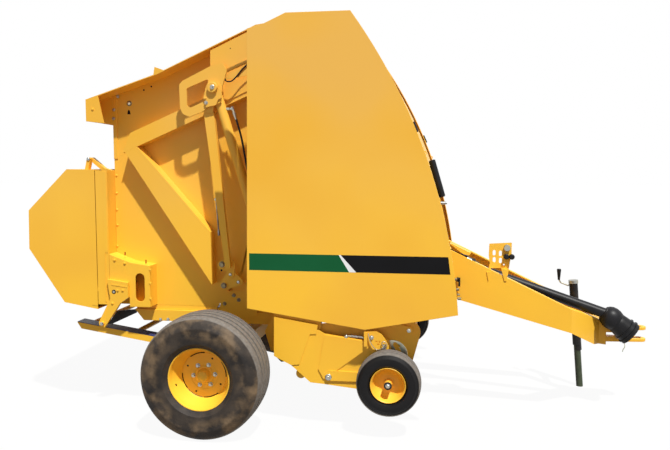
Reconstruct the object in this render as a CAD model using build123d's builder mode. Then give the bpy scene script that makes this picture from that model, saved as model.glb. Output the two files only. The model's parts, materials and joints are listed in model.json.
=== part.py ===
from build123d import *
import os
from math import hypot, sqrt

# A trailed round baler with a net wrap box on its tailgate, at its real size, in millimetres.
# +X points forward to the hitch, +Y to the machine's left, +Z up from the ground.
# Side outlines are given as (forward of the axle, above the ground).

# Overall reach and the axle's place, so that the origin lies under the middle of the machine
NOSE_X = 2570.0               # axle to the drawbar's nose
HITCH_RUN = 333.0             # the hitch plates reach this far past it
HITCH_REACH = NOSE_X + HITCH_RUN
BOX_REACH = 1387.0            # axle to the net wrap box's rear face
AXLE_X = (BOX_REACH - HITCH_REACH) / 2

# Running fits
FIT = 0.3                     # a bore round its pin, or a face beside a face that turns

# Main wheels, 31 x 13.5-15 implement tyres
TYRE_R = 394.0
TYRE_W = 343.0
RIM_R = 196.0
WHEEL_OUT = 1200.0            # outer face of the tyre from the middle of the machine
DISC_IN = 98.0                # the wheel disc lies this far behind the tyre's outer face
SPINDLE_R = 30.0
HUB_R = 62.0

# Gauge wheels, 16 x 6.50-8
GAUGE_R = 203.0
GAUGE_W = 165.0
GAUGE_RIM_R = 110.0
GAUGE_OUT = 1000.0
GAUGE_AT = (1150.0, 355.0)
GAUGE_DISC = 60.0
GAUGE_PIN_R = 12.0

# Bale chamber and frame
CHAMBER_W = 1194.0            # between the side sheets
SHEET = 6.0
SHEET_IN = CHAMBER_W / 2
SHEET_OUT = SHEET_IN + SHEET
WALL = 6.0                    # pressed sections
RAIL_LEDGE = 57.0             # the rails reach this far in under the chamber
RAIL_STEP = 17.0              # and stand this far outside the side sheets
RAIL_IN = SHEET_IN - RAIL_LEDGE
RAIL_OUT = SHEET_OUT + RAIL_STEP
RAIL_LOW = 627.0
RAIL_TOP = 705.0
RAIL_REAR = -660.0
RAIL_FRONT = 640.0
AXLE_BEAM = 100.0
AXLE_REACH = 157.0            # the axle beam stands this far outside the side sheets
AXLE_BEAM_HALF = SHEET_OUT + AXLE_REACH
HINGE = (470.0, 2500.0)       # tailgate hinge
HINGE_R = 80.0
HINGE_PIN_R = 30.0

# The machine's front curve is an arc about this centre
FRONT_C = (-1976.0, 555.0)
FRONT_R = 3555.0
TOP_Z = 2634.0
HOOD_DROP = 18.0              # the hood lies this far inside the shields' edge
HOOD_LOW = 1500.0

# Side shields
SHIELD_OUT = 950.0
SHIELD_T = 6.0
HOOD_HALF = SHIELD_OUT - 50.0
SHIELD_HINGE_Y = SHIELD_OUT - 13.0
FLANGE = 30.0                 # the shields' edges are turned in by this
FLANGE_TOP = 2540.0
SHIELD_HINGE_Z = 2619.0
SHIELD_PIN_R = 4.0
KNUCKLE_R = 9.0
HOOD_KNUCKLE_R = 6.0
KNUCKLE_L = 40.0
KNUCKLES = (580.0, 830.0)     # the hood's knuckles; the shields' stand on both sides of each

# Tailgate
GATE_DEPTH = 97.0             # the beam and the diagonal brace on the side sheet
GATE_FACE = SHEET_OUT + GATE_DEPTH
GATE_REAR = -794.0
GATE_LOW = 735.0
ROOF_HALF = GATE_FACE + 60.0
ROOF_REAR = (-912.0, 2150.0)
ROOF_BEND = (-400.0, 2313.0)
ROOF_FRONT = (270.0, 2606.0)
ROOF_END = (345.0, 2616.0)     # front edge of the tailgate's roof
LEVER_T = 12.0
RAM_PIN = (-7.0, 2209.0)      # cap end of the tailgate ram
RAM_FOOT = (314.0, 1150.0)    # rod end of the tailgate ram
RAM_Y = GATE_FACE + 45.0
RAM_R = 32.0
LEVER_IN = RAM_Y + RAM_R + 3.0
ROD_R = 17.0
RAM_BARREL = 760.0
PIN_R = 20.0
EYE_R = 34.0
EYE_HALF = 22.0
FOOT_GAP = 6.0                # between the rod's eye and its lug on the frame
LINK_IN = GATE_FACE + 40.0
LINK_T = 30.0
BOX_STEP = 117.0              # the net box stands this far outside the side sheets
BOX_HALF = SHEET_OUT + BOX_STEP

# Bale ramp
RAMP_HINGE = (-95.0, 424.0)
RAMP_END = (-1100.0, 572.0)
RAMP_H = 46.0
RAMP_IN = SHEET_IN - 85.0
RAMP_OUT = SHEET_OUT + 15.0
RAMP_LUG = 8.0                # thickness of its lugs on the axle
RAMP_PIN_R = 12.0
RAMP_TUBES = (-1040.0, -700.0, -360.0)

# Drawbar
BEAM_OUT = 330.0
BEAM_WEB = 8.0
BEAM_FLANGE = 60.0
BEAM_REAR = 1440.0
GEARBOX_FRONT = 1530.0
BEND_X = NOSE_X - 230.0       # here the beams turn in
NOSE_HALF = 78.0
HITCH_PLATE = 20.0
HITCH_LOW = 464.0
HITCH_GAP = 64.0
HITCH_PIN_R = 16.0
HITCH_TIP_R = 46.0

# Jack, on the left beam
JACK_Y = BEAM_OUT + 42.0
JACK_TOP = (NOSE_X - 104.0, 806.0)
JACK_FOOT = (NOSE_X - 36.0, 0.0)
JACK_R = 32.0
LEG_R = 25.0
JACK_TUBE = 480.0
LEG_IN = 110.0                # leg inside the tube at rest
JACK_SWIVEL = 205.0           # swivel below the jack's top, along its axis

# Pickup
PICK_PIVOT = (520.0, 560.0)
FEED_IN = 800.0
PICK_SIDE_IN = FEED_IN + 12.0
PICK_HALF = PICK_SIDE_IN - 32.0
REEL_AT = (1110.0, 520.0)
REEL_TUBE_R = 55.0
TINE_TIP_R = 186.0
TINE_BARS = 4
BAND_R = 128.0
BAND_W = 40.0
BAND_T = 4.0
BANDS = 17
BAND_PITCH = 2 * (PICK_HALF - 32.0) / BANDS
BAND_TAIL = (810.0, 580.0)    # where the bands end behind the reel
BAND_TAIL_R = 46.0
REEL_HALF = PICK_HALF - 10.0
REEL_STUB_R = 20.0
REEL_STUB = 35.0              # the stub's reach in from the end plate
TINE_D = 6.0
TINE_SPREAD = 10.0            # each tine of a pair from the pair's middle
TINE_TURN = 20.0

os.makedirs("parts", exist_ok=True)


def side_plane(y):
    """The side view at y, with x forward of the axle and y up from the ground."""
    return Plane(origin=(AXLE_X, y, 0), x_dir=(1, 0, 0), z_dir=(0, -1, 0))


def side_planes(count, pitch, width):
    """The left-hand faces of evenly spaced slices, each this wide, centred on the machine."""
    return [side_plane((i - (count - 1) / 2) * pitch + width / 2) for i in range(count)]


def front(z, inset=0.0):
    """The front curve's point at height z, inset behind the shields' edge."""
    radius = FRONT_R - inset
    return (FRONT_C[0] + sqrt(radius**2 - (z - FRONT_C[1]) ** 2), z)


def plate(outline, inner, thick, mode=Mode.ADD):
    """A side outline as a plate on the right-hand side, from inner out to inner + thick."""
    with BuildSketch(side_plane(-inner)) as face:
        with BuildLine():
            Polyline(*outline, close=True)
        make_face()
    extrude(face.sketch, amount=thick, mode=mode)


def across(outline, half, mode=Mode.ADD):
    """A side outline as a solid right across the machine."""
    plate(outline, -half, 2 * half, mode)


def box(x0, x1, z0, z1, inner, outer, mode=Mode.ADD):
    """A rectangular block on the right-hand side."""
    plate([(x0, z0), (x1, z0), (x1, z1), (x0, z1)], inner, outer - inner, mode)


def pin(at, radius, inner, outer, mode=Mode.ADD):
    """A round pin, boss or bore across the machine, from inner out to outer."""
    with BuildSketch(side_plane(-inner)) as face:
        with Locations(at):
            Circle(radius)
    extrude(face.sketch, amount=outer - inner, mode=mode)


def pressed(outline, inner, outer, wall=WALL):
    """A pressed section: a face at outer with walls all round that reach in to inner."""
    plate(outline, inner, outer - inner)
    with BuildSketch(side_plane(-inner)) as hollow:
        with BuildLine():
            Polyline(*outline, close=True)
        make_face()
        offset(amount=-wall, kind=Kind.INTERSECTION, mode=Mode.REPLACE)
    extrude(hollow.sketch, amount=outer - inner - wall, mode=Mode.SUBTRACT)


def link(a, b, ra, rb, inner, thick, mode=Mode.ADD):
    """A flat link with round ends of radius ra at a and rb at b."""
    with BuildSketch(side_plane(-inner)) as face:
        with Locations(a):
            Circle(ra)
        with Locations(b):
            Circle(rb)
        make_hull()
    extrude(face.sketch, amount=thick, mode=mode)


def both_sides():
    """Mirror what stands on the right to the left."""
    mirror(about=Plane.XZ)


def finish(part, name):
    part.part.label = name
    export_step(part.part, f"parts/{name}.step")


def on_line(a, b, x):
    """Height of the line from a to b at x."""
    return a[1] + (b[1] - a[1]) * (x - a[0]) / (b[0] - a[0])


# Main frame

AXLE = (0.0, TYRE_R)

with BuildPart() as axle_beam:
    half = AXLE_BEAM / 2
    box(-half, half, TYRE_R - half, TYRE_R + half, -AXLE_BEAM_HALF, AXLE_BEAM_HALF)
    for inner in (RAIL_IN + 8, RAIL_OUT - 20):
        box(-80, 80, TYRE_R + half, RAIL_LOW, inner, inner + 12)
    pin(AXLE, SPINDLE_R, AXLE_BEAM_HALF, WHEEL_OUT - DISC_IN)
    for inner in (RAMP_IN - RAMP_LUG - 4, RAMP_OUT + 2):
        link(RAMP_HINGE, (-half - 1, RAMP_HINGE[1]), 24, 24, inner, RAMP_LUG)
    pin(RAMP_HINGE, RAMP_PIN_R, RAMP_IN - 4, RAMP_OUT + 2)
    both_sides()
finish(axle_beam, "axle_beam")

with BuildPart() as lower_rails:
    rail = [(RAIL_REAR, RAIL_TOP), (-595, RAIL_LOW), (RAIL_FRONT, RAIL_LOW), (RAIL_FRONT, RAIL_TOP)]
    pressed(rail, RAIL_IN, RAIL_OUT)
    both_sides()
    box(-520, -460, RAIL_LOW, RAIL_TOP, -RAIL_IN, RAIL_IN)
    box(360, 420, RAIL_LOW, RAIL_TOP, -RAIL_IN, RAIL_IN)
finish(lower_rails, "lower_rails")

# The side sheets stop short of the tailgate along a line from its hinge to its lower front corner
PART_LOW = (115.0, 985.0)
GATE_TOE = (-60.0, GATE_LOW)
SEAM = 6.0                    # each sheet stops this far from the parting line
ROOF_TOP = TOP_Z - HOOD_DROP
ROOF_Z = ROOF_TOP - SHEET
SHEET_INSET = HOOD_DROP + SHEET
BEARING_T = 12.0              # the plate round the tailgate's hinge
ARM_IN = SHEET_OUT + BEARING_T + 5.0
DRIVE_SHAFT = (1485.0, 1010.0)  # cross shaft from the gearbox to the chain drive on the left
DRIVE_SHAFT_R = 20.0

# Cover plate over the lower front roller's bearing
ROLLER_COVER = [
    (-36, 714), (-31, 806), (-12, 836), (19, 852), (141, 863),
    (225, 864), (225, 690), (190, 668), (40, 660), (-20, 683),
]

with BuildPart() as side_sheets:
    with BuildSketch(side_plane(-SHEET_IN)):
        with BuildLine():
            Polyline(
                front(ROOF_Z, SHEET_INSET),
                (520, ROOF_Z),
                (HINGE[0] + SEAM, HINGE[1]),
                (PART_LOW[0] + SEAM, PART_LOW[1] - SEAM),
                (GATE_TOE[0] - SEAM, RAIL_TOP),
                (RAIL_FRONT, RAIL_TOP),
                (760, 770),
                front(790, SHEET_INSET),
            )
            ThreePointArc(front(790, SHEET_INSET), front(1700, SHEET_INSET), front(ROOF_Z, SHEET_INSET))
        make_face()
        with Locations(HINGE):
            Circle(HINGE_R)
    extrude(amount=SHEET)
    pin(HINGE, HINGE_R, SHEET_OUT, SHEET_OUT + BEARING_T)
    pin(HINGE, HINGE_PIN_R, SHEET_OUT, ARM_IN + 20)
    plate([(52, 752), (62, 870), (110, 912), (245, 918), (245, 752)], SHEET_OUT, RAIL_STEP)
    plate(ROLLER_COVER, RAIL_OUT, WALL)
    both_sides()
    pin(DRIVE_SHAFT, DRIVE_SHAFT_R + 2, -SHEET_OUT, -SHEET_IN, Mode.SUBTRACT)
finish(side_sheets, "side_sheets")

with BuildPart() as cross_members:
    for x0, x1, z0, z1 in ((1380, 1440, 780, 1150), (820, 900, 2500, 2580), (1180, 1240, 1820, 1900)):
        box(x0, x1, z0, z1, -SHEET_IN, SHEET_IN)
        box(x0 + WALL, x1 - WALL, z0 + WALL, z1 - WALL, -SHEET_IN, SHEET_IN, Mode.SUBTRACT)
finish(cross_members, "cross_members")

# Frame rollers: x, z, radius
FRAME_ROLLERS = ((150, 825, 108), (520, 800, 75), (720, 900, 90), (985, 2310, 60), (620, 2430, 60))
ROLLER_HALF = SHEET_IN - 7.0
SHAFT_R = 25.0

ROLLER_WALL = 8.0
SPOKE_W = 40.0
SPOKE_T = 12.0


def roller(x, z, radius):
    """A tube on a through shaft, carried by a cross of spokes near each end."""
    bore = radius - ROLLER_WALL
    pin((x, z), radius, -ROLLER_HALF, ROLLER_HALF)
    pin((x, z), bore, -ROLLER_HALF, ROLLER_HALF, Mode.SUBTRACT)
    pin((x, z), SHAFT_R, -SHEET_IN, SHEET_IN)
    with BuildSketch(side_plane(ROLLER_HALF - SPOKE_T), side_plane(-ROLLER_HALF + 2 * SPOKE_T)) as spokes:
        with Locations((x, z)):
            Rectangle(2 * bore + ROLLER_WALL, SPOKE_W)
            Rectangle(SPOKE_W, 2 * bore + ROLLER_WALL)
    extrude(spokes.sketch, amount=SPOKE_T)


with BuildPart() as frame_rollers:
    for x, z, radius in FRAME_ROLLERS:
        roller(x, z, radius)
finish(frame_rollers, "frame_rollers")

BELTS = 6
BELT_GAP = 32.0
BELT_W = (2 * (SHEET_IN - 37.0) + BELT_GAP) / BELTS - BELT_GAP
BELT_PITCH = BELT_W + BELT_GAP
BELT_T = 8.0


def belts(rollers):
    """Belts side by side round the rollers, each (x, z, radius)."""
    with BuildSketch(*side_planes(BELTS, BELT_PITCH, BELT_W)) as loop:
        for x, z, r in rollers:
            with Locations((x, z)):
                Circle(r + FIT)
        make_hull()
        offset(amount=BELT_T)
        with BuildSketch(mode=Mode.SUBTRACT):
            for x, z, r in rollers:
                with Locations((x, z)):
                    Circle(r + FIT)
            make_hull()
    extrude(loop.sketch, amount=BELT_W)


with BuildPart() as front_belts:
    belts(FRAME_ROLLERS[2:])
finish(front_belts, "front_belts")


def along_hinge(side, x, length, radius, mode=Mode.ADD):
    """A round length of a side shield's hinge, centred on x."""
    start = Plane(origin=(AXLE_X + x - length / 2, side * SHIELD_HINGE_Y, SHIELD_HINGE_Z), z_dir=(1, 0, 0))
    with BuildSketch(start) as face:
        Circle(radius)
    extrude(face.sketch, amount=length, mode=mode)


with BuildPart() as front_hood:
    with BuildSketch(side_plane(HOOD_HALF)):
        with BuildLine():
            Line((520, ROOF_TOP), front(ROOF_TOP, HOOD_DROP))
            ThreePointArc(front(ROOF_TOP, HOOD_DROP), front(2000, HOOD_DROP), front(HOOD_LOW, HOOD_DROP))
            Line(front(HOOD_LOW, HOOD_DROP), front(HOOD_LOW, SHEET_INSET))
            ThreePointArc(front(HOOD_LOW, SHEET_INSET), front(2000, SHEET_INSET), front(ROOF_Z, SHEET_INSET))
            Line(front(ROOF_Z, SHEET_INSET), (520, ROOF_Z))
            Line((520, ROOF_Z), (520, ROOF_TOP))
        make_face()
    extrude(amount=2 * HOOD_HALF)
    for x in KNUCKLES:
        box(x - KNUCKLE_L / 2, x + KNUCKLE_L / 2, ROOF_Z, ROOF_TOP, HOOD_HALF, SHIELD_HINGE_Y)
        along_hinge(-1, x, KNUCKLE_L, HOOD_KNUCKLE_R)
    along_hinge(-1, sum(KNUCKLES) / 2, KNUCKLES[1] - KNUCKLES[0] + 3 * KNUCKLE_L, SHIELD_PIN_R)
    both_sides()
finish(front_hood, "front_hood")

# Drawbar: two tapered beams that bend in to the hitch


def drawbar_plan(width):
    """Plan view of the right-hand beam's outer face, with this width inside it."""
    cut = hypot(NOSE_X - BEND_X, BEAM_OUT - NOSE_HALF)
    turn = (BEAM_OUT - NOSE_HALF) / cut
    step = width * (1 - (NOSE_X - BEND_X) / cut) / turn
    return [
        (BEAM_REAR, -BEAM_OUT),
        (BEND_X, -BEAM_OUT),
        (NOSE_X, -NOSE_HALF),
        (NOSE_X + 50, -NOSE_HALF),
        (NOSE_X + 50, -NOSE_HALF + width),
        (NOSE_X - step, -NOSE_HALF + width),
        (BEND_X - step, -BEAM_OUT + width),
        (BEAM_REAR, -BEAM_OUT + width),
    ]


def drawbar_part(width, outline):
    """The beam's plan at this width, kept where the side outline covers it."""
    with BuildPart(mode=Mode.PRIVATE) as piece:
        with BuildSketch(Plane.XY.move(Location((AXLE_X, 0, 0)))):
            with BuildLine():
                Polyline(*drawbar_plan(width), close=True)
            make_face()
        extrude(amount=1400)
        across(outline, 600, Mode.INTERSECT)
    return piece.part


BEAM_TOP = [(BEAM_REAR, 1166), (BEND_X, 735), (NOSE_X - 30, 640), (NOSE_X + 50, 600)]
BEAM_BASE = [(BEAM_REAR, 822), (BEND_X, 574), (NOSE_X - 40, 454), (NOSE_X + 50, 444)]
lowered = [(x, z - BEAM_WEB) for x, z in BEAM_TOP]
raised = [(x, z + BEAM_WEB) for x, z in BEAM_BASE]
beam_pieces = [
    drawbar_part(BEAM_WEB, BEAM_BASE + BEAM_TOP[::-1]),
    drawbar_part(BEAM_FLANGE, lowered + BEAM_TOP[::-1]),
    drawbar_part(BEAM_FLANGE, BEAM_BASE + raised[::-1]),
]

jack_dx, jack_dz = JACK_FOOT[0] - JACK_TOP[0], JACK_FOOT[1] - JACK_TOP[1]
jack_run = hypot(jack_dx, jack_dz)
jack_down = (jack_dx / jack_run, jack_dz / jack_run)


def jack_point(down):
    """The point of the jack's axis this far below its top."""
    return (JACK_TOP[0] + jack_down[0] * down, JACK_TOP[1] + jack_down[1] * down)


def jack_plane(down):
    """A plane square to the jack's axis, this far below its top, with z up the jack."""
    x, z = jack_point(down)
    return Plane(origin=(AXLE_X + x, JACK_Y, z), x_dir=(0, 1, 0), z_dir=(-jack_down[0], 0, -jack_down[1]))


SWIVEL_FACE = BEAM_OUT - 20.0

with BuildPart() as drawbar_beams:
    add(beam_pieces)
    both_sides()
    pin(DRIVE_SHAFT, DRIVE_SHAFT_R + 2, -BEAM_OUT, -BEAM_OUT + BEAM_WEB, Mode.SUBTRACT)
    pin(jack_point(JACK_SWIVEL), 26, -SWIVEL_FACE, -150)
    pin(jack_point(JACK_SWIVEL), 12, -SWIVEL_FACE - 12, -SWIVEL_FACE)
finish(drawbar_beams, "drawbar_beams")

# The hoses' bracket on the right beam's top flange
HOSE_FOOT = (BEAM_REAR + 375.0, BEAM_REAR + 476.0)
HOSE_TOP = 1178.0
with BuildPart() as hose_bracket:
    foot = [(x, on_line(BEAM_TOP[0], BEAM_TOP[1], x)) for x in HOSE_FOOT]
    plate(
        [(HOSE_FOOT[0] - 24, HOSE_TOP), *foot, (HOSE_FOOT[1] + 16, HOSE_TOP)],
        BEAM_OUT - BEAM_FLANGE / 2 - WALL / 2,
        WALL,
    )
finish(hose_bracket, "hose_bracket")

HITCH_PIN = (HITCH_REACH - HITCH_TIP_R, 0.0)
with BuildPart() as hitch_plates:
    for z in (HITCH_LOW, HITCH_LOW + HITCH_PLATE + HITCH_GAP):
        with BuildSketch(Plane.XY.offset(z).move(Location((AXLE_X, 0, 0)))):
            with Locations(HITCH_PIN):
                Circle(HITCH_TIP_R)
            with Locations((NOSE_X + 25, 0)):
                Rectangle(50, 2 * (NOSE_HALF - BEAM_WEB))
            make_hull()
        extrude(amount=HITCH_PLATE)
    with Locations((AXLE_X + HITCH_PIN[0], 0, HITCH_LOW + HITCH_PLATE + HITCH_GAP / 2)):
        Cylinder(HITCH_PIN_R, 300, mode=Mode.SUBTRACT)
finish(hitch_plates, "hitch_plates")

with BuildPart() as gearbox:
    box(BEAM_REAR, GEARBOX_FRONT, 930, 1100, -130, 130)
    fillet(gearbox.edges().filter_by(Axis.X), 24)
finish(gearbox, "gearbox")

# Driveline from the gearbox to the bell over its front joint
LINE_REAR = (1575.0, 0.0, 1008.0)
LINE_FRONT = (NOSE_X + 31.0, -140.0, 678.0)
BELL_MOUTH = (NOSE_X + 198.0, -152.0, 540.0)
GUARD_R = 36.0


def along(a, b):
    """A plane at a with z towards b, both (forward of the axle, y, height)."""
    return Plane(origin=(AXLE_X + a[0], a[1], a[2]), z_dir=(b[0] - a[0], b[1] - a[1], b[2] - a[2]))


def span(a, b):
    return sqrt(sum((p - q) ** 2 for p, q in zip(a, b)))


def turned(plane, profile):
    """Revolve a profile of (radius, along the axis) points about the plane's z axis."""
    with BuildSketch(Plane(origin=plane.origin, x_dir=plane.x_dir, z_dir=-plane.y_dir)) as section:
        with BuildLine():
            Polyline(*profile, close=True)
        make_face()
    revolve(section.sketch, axis=Axis(plane.origin, plane.z_dir))


# A round canister strapped to the front of the hood
CANISTER = ((1388.0, -300.0, 1746.0), (1463.0, -300.0, 1491.0))
CANISTER_R = 23.0
STRAPS = (1560.0, 1690.0)
STRAP_HALF = 12.0
with BuildPart() as canister:
    reach = span(*CANISTER)
    end_r = CANISTER_R - 6
    turned(along(*CANISTER), [(0, 0), (end_r, 0), (CANISTER_R, 6), (CANISTER_R, reach - 6), (end_r, reach), (0, reach)])
    (top_x, top_y, top_z), (end_x, end_y, end_z) = CANISTER
    for z in STRAPS:
        middle = top_x + (end_x - top_x) * (z - top_z) / (end_z - top_z)
        lower, upper = (front(z + step, HOOD_DROP - FIT) for step in (-STRAP_HALF, STRAP_HALF))
        plate([lower, (middle, z - STRAP_HALF), (middle, z + STRAP_HALF), upper], -top_y - 8, 16)
finish(canister, "canister")

with BuildPart() as driveline:
    with BuildSketch(Plane(origin=(AXLE_X + GEARBOX_FRONT, 0, LINE_REAR[2] + 8), z_dir=(1, 0, 0))):
        Circle(30)
    extrude(amount=LINE_REAR[0] - GEARBOX_FRONT + 20)
    length = span(LINE_REAR, LINE_FRONT)
    turned(
        along(LINE_REAR, LINE_FRONT),
        [(0, 0), (62, 0), (70, 30), (44, 150), (GUARD_R, 160), (GUARD_R, length), (0, length)],
    )
    bell = span(LINE_FRONT, BELL_MOUTH)
    turned(
        along(LINE_FRONT, BELL_MOUTH),
        [
            (17.5, bell - 100), (34, bell - 100), (34, bell - 130), (0, bell - 130), (0, -20), (46, -20),
            (66, 30), (64, 80), (70, 90), (82, bell - 10), (82, bell), (76, bell), (62, 100),
            (50, bell - 115), (50, bell - 14), (17.5, bell - 14),
        ],
    )
finish(driveline, "driveline")

# Chain drive on the left: the cross shaft, two sprockets and the chain round them
CHAIN_IN = SHEET_OUT + 22.0
CHAIN_W = 16.0
CHAIN_H = 12.0
CHAIN_PIN_R = 4.0
CHAIN_PINS = 36
SPROCKETS = ((DRIVE_SHAFT, 60.0), ((720.0, 900.0), 110.0))
with BuildPart() as drive_shafts:
    pin(DRIVE_SHAFT, DRIVE_SHAFT_R, -CHAIN_IN - CHAIN_W, -130)
    for at, radius in SPROCKETS:
        pin(at, SHAFT_R + 20, -CHAIN_IN, -SHEET_OUT)
        pin(at, radius - CHAIN_H / 2 - FIT, -CHAIN_IN - CHAIN_W + 3, -CHAIN_IN - 3)
        pin(at, SHAFT_R, -CHAIN_IN - CHAIN_W - 6, -CHAIN_IN)
finish(drive_shafts, "drive_shafts")

with BuildPart() as drive_chain:
    with BuildSketch(side_plane(CHAIN_IN + CHAIN_W)) as loop:
        for at, radius in SPROCKETS:
            with Locations(at):
                Circle(radius + CHAIN_H / 2)
        make_hull()
        with BuildSketch(mode=Mode.SUBTRACT):
            for at, radius in SPROCKETS:
                with Locations(at):
                    Circle(radius - CHAIN_H / 2)
            make_hull()
    extrude(loop.sketch, amount=CHAIN_W)
    with BuildSketch(mode=Mode.PRIVATE) as centre_line:
        for at, radius in SPROCKETS:
            with Locations(at):
                Circle(radius)
        make_hull()
    path = centre_line.sketch.face().outer_wire()
    with BuildSketch(side_plane(CHAIN_IN + CHAIN_W + 3)) as heads:
        for i in range(CHAIN_PINS):
            at = path @ (i / CHAIN_PINS)
            with Locations((at.X, at.Y)):
                Circle(CHAIN_PIN_R)
    extrude(heads.sketch, amount=CHAIN_W + 6)
finish(drive_chain, "drive_chain")

# Tailgate: everything here swings about its hinge

NOTCH_R = 100.0


def under_roof(x):
    """Height of the roof sheet's underside at x."""
    ends = (ROOF_REAR, ROOF_BEND) if x < ROOF_BEND[0] else (ROOF_BEND, ROOF_FRONT)
    return on_line(*ends, x) - WALL


EDGE_STRIP = 28.0             # a doubling strip up the sheet's rear edge, above the net box
STRIP_LOW = 1755.0


with BuildPart() as gate_sheets:
    plate(
        [
            (GATE_REAR, GATE_LOW),
            GATE_TOE,
            (PART_LOW[0] - SEAM, PART_LOW[1]),
            (HINGE[0] - SEAM, HINGE[1]),
            (ROOF_END[0], ROOF_END[1] - WALL),
            (ROOF_FRONT[0], ROOF_FRONT[1] - WALL),
            (ROOF_BEND[0], ROOF_BEND[1] - WALL),
            (GATE_REAR, under_roof(GATE_REAR)),
        ],
        SHEET_IN,
        SHEET,
    )
    pin(HINGE, NOTCH_R, SHEET_IN, SHEET_OUT, Mode.SUBTRACT)
    edge = GATE_REAR + EDGE_STRIP
    strip = [(GATE_REAR, STRIP_LOW), (edge, STRIP_LOW), (edge, under_roof(edge)), (GATE_REAR, under_roof(GATE_REAR))]
    plate(strip, SHEET_OUT, WALL)
    both_sides()
finish(gate_sheets, "gate_sheets")

# The beam runs up to the hinge arm, parallel lines 110 mm apart
BEAM_A = (-684.0, 1792.0)
BEAM_B = (300.0, 2207.0)
GATE_BEAM_H = 112.0

with BuildPart() as gate_beams:
    heel = BEAM_A[0] + 55
    top = [(BEAM_B[0], BEAM_B[1] + GATE_BEAM_H), (heel, on_line(BEAM_A, BEAM_B, heel) + GATE_BEAM_H)]
    pressed([BEAM_A, BEAM_B, *top], SHEET_OUT, GATE_FACE)
    both_sides()
finish(gate_beams, "gate_beams")

with BuildPart() as hinge_arms:
    plate(
        [
            (190, on_line(BEAM_A, BEAM_B, 190) + GATE_BEAM_H),
            (BEAM_B[0], BEAM_B[1] + GATE_BEAM_H),
            (HINGE[0] + 40, HINGE[1] - 40),
            (HINGE[0] - 40, HINGE[1] + 45),
        ],
        ARM_IN,
        12,
    )
    pin(HINGE, 62, ARM_IN, ARM_IN + 12)
    pin(HINGE, HINGE_PIN_R + FIT, ARM_IN, ARM_IN + 12, Mode.SUBTRACT)
    box(190, 280, 2320, 2400, SHEET_OUT, ARM_IN)
    both_sides()
finish(hinge_arms, "hinge_arms")

with BuildPart() as gate_braces:
    pressed(
        [
            (-66, 905),
            (-72, 1262),
            (-580, on_line(BEAM_A, BEAM_B, -580)),
            (-668, on_line(BEAM_A, BEAM_B, -668)),
        ],
        SHEET_OUT,
        GATE_FACE,
    )
    both_sides()
finish(gate_braces, "gate_braces")

with BuildPart() as gate_levers:
    plate(
        [
            (-237, 2217), (-221, 2246), (-28, 2341), (20, 2330), (52, 2205),
            (40, 2112), (-20, 2100), (-91, 2067), (-186, 2034), (-237, 2080),
        ],
        LEVER_IN,
        LEVER_T,
    )
    plate([(-190, 2209), (-60, 2275), (-72, 2126), (-185, 2089)], LEVER_IN, LEVER_T, Mode.SUBTRACT)
    link(RAM_PIN, (RAM_PIN[0] - 10, RAM_PIN[1] - 90), 46, 40, GATE_FACE, RAM_Y - RAM_R - 1 - GATE_FACE)
    pin(RAM_PIN, PIN_R, GATE_FACE, LEVER_IN + 22)
    pin(RAM_PIN, 34, RAM_Y + RAM_R + 1, LEVER_IN)
    both_sides()
finish(gate_levers, "gate_levers")

LINK_TOP = (-46.0, 2040.0)
LINK_LOW = (68.0, 1045.0)
with BuildPart() as latch_links:
    link(LINK_TOP, LINK_LOW, 34, 18, LINK_IN, LINK_T)
    plate([(-75, 2050), (-15, 2050), (-8, 2100), (-60, 2100)], LINK_IN + LINK_T, LEVER_IN - LINK_IN - LINK_T)
    both_sides()
finish(latch_links, "latch_links")

with BuildPart() as latch_hooks:
    link((16, 1040), LINK_LOW, 36, 34, GATE_FACE, 12)
    link(LINK_LOW, (66, 981), 34, 26, GATE_FACE, 12)
    pin((16, 1040), 16, SHEET_OUT, GATE_FACE + 20)
    pin(LINK_LOW, 12, GATE_FACE + 12, LINK_IN)
    with BuildSketch(side_plane(-GATE_FACE + 12)) as crank:
        for x, z, radius in ((66, 981, 26), (123, 930, 25), (21, 904, 34)):
            with Locations((x, z)):
                Circle(radius)
        make_hull()
    extrude(crank.sketch, amount=12)
    pin((21, 904), 18, SHEET_OUT, GATE_FACE + 12)
    both_sides()
finish(latch_hooks, "latch_hooks")

SEAT = 2.0                    # how far one sheet is let into the next where they are welded
LIP_LOW = 2004.0              # the roof's rear lip ends here
with BuildPart() as gate_roof:
    top = [ROOF_REAR, ROOF_BEND, ROOF_FRONT, ROOF_END]
    across(top + [(x, z - WALL) for x, z in top[::-1]], ROOF_HALF)
    lip = (ROOF_REAR[0], ROOF_REAR[0] + WALL)
    box(*lip, LIP_LOW, under_roof(lip[1]) + SEAT, -ROOF_HALF, ROOF_HALF)
    plate(
        [
            (lip[1] - SEAT, LIP_LOW),
            (GATE_REAR, LIP_LOW - 19),
            (GATE_REAR, under_roof(GATE_REAR) + SEAT),
            (lip[1] - SEAT, under_roof(lip[1]) + SEAT),
        ],
        SHEET_OUT,
        WALL,
    )
    plate(
        [
            (lip[0], LIP_LOW),
            (GATE_REAR + 10, LIP_LOW - 13),
            (GATE_REAR - 29, under_roof(GATE_REAR - 29) + SEAT),
            (lip[0], under_roof(lip[0]) + SEAT),
        ],
        ROOF_HALF - WALL,
        WALL,
    )
    fin = [(-428, under_roof(-428) + SEAT), (-418, 2355), (-351, 2331), (-345, under_roof(-345) + SEAT)]
    plate(fin, ROOF_HALF - WALL, WALL)
    both_sides()
finish(gate_roof, "gate_roof")

GATE_ROLLERS = ((-640, 860, 60), (-690, 1880, 60), (-60, 2290, 60))
with BuildPart() as gate_rollers:
    for x, z, radius in GATE_ROLLERS:
        roller(x, z, radius)
finish(gate_rollers, "gate_rollers")

with BuildPart() as gate_belts:
    belts(GATE_ROLLERS)
finish(gate_belts, "gate_belts")

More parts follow.
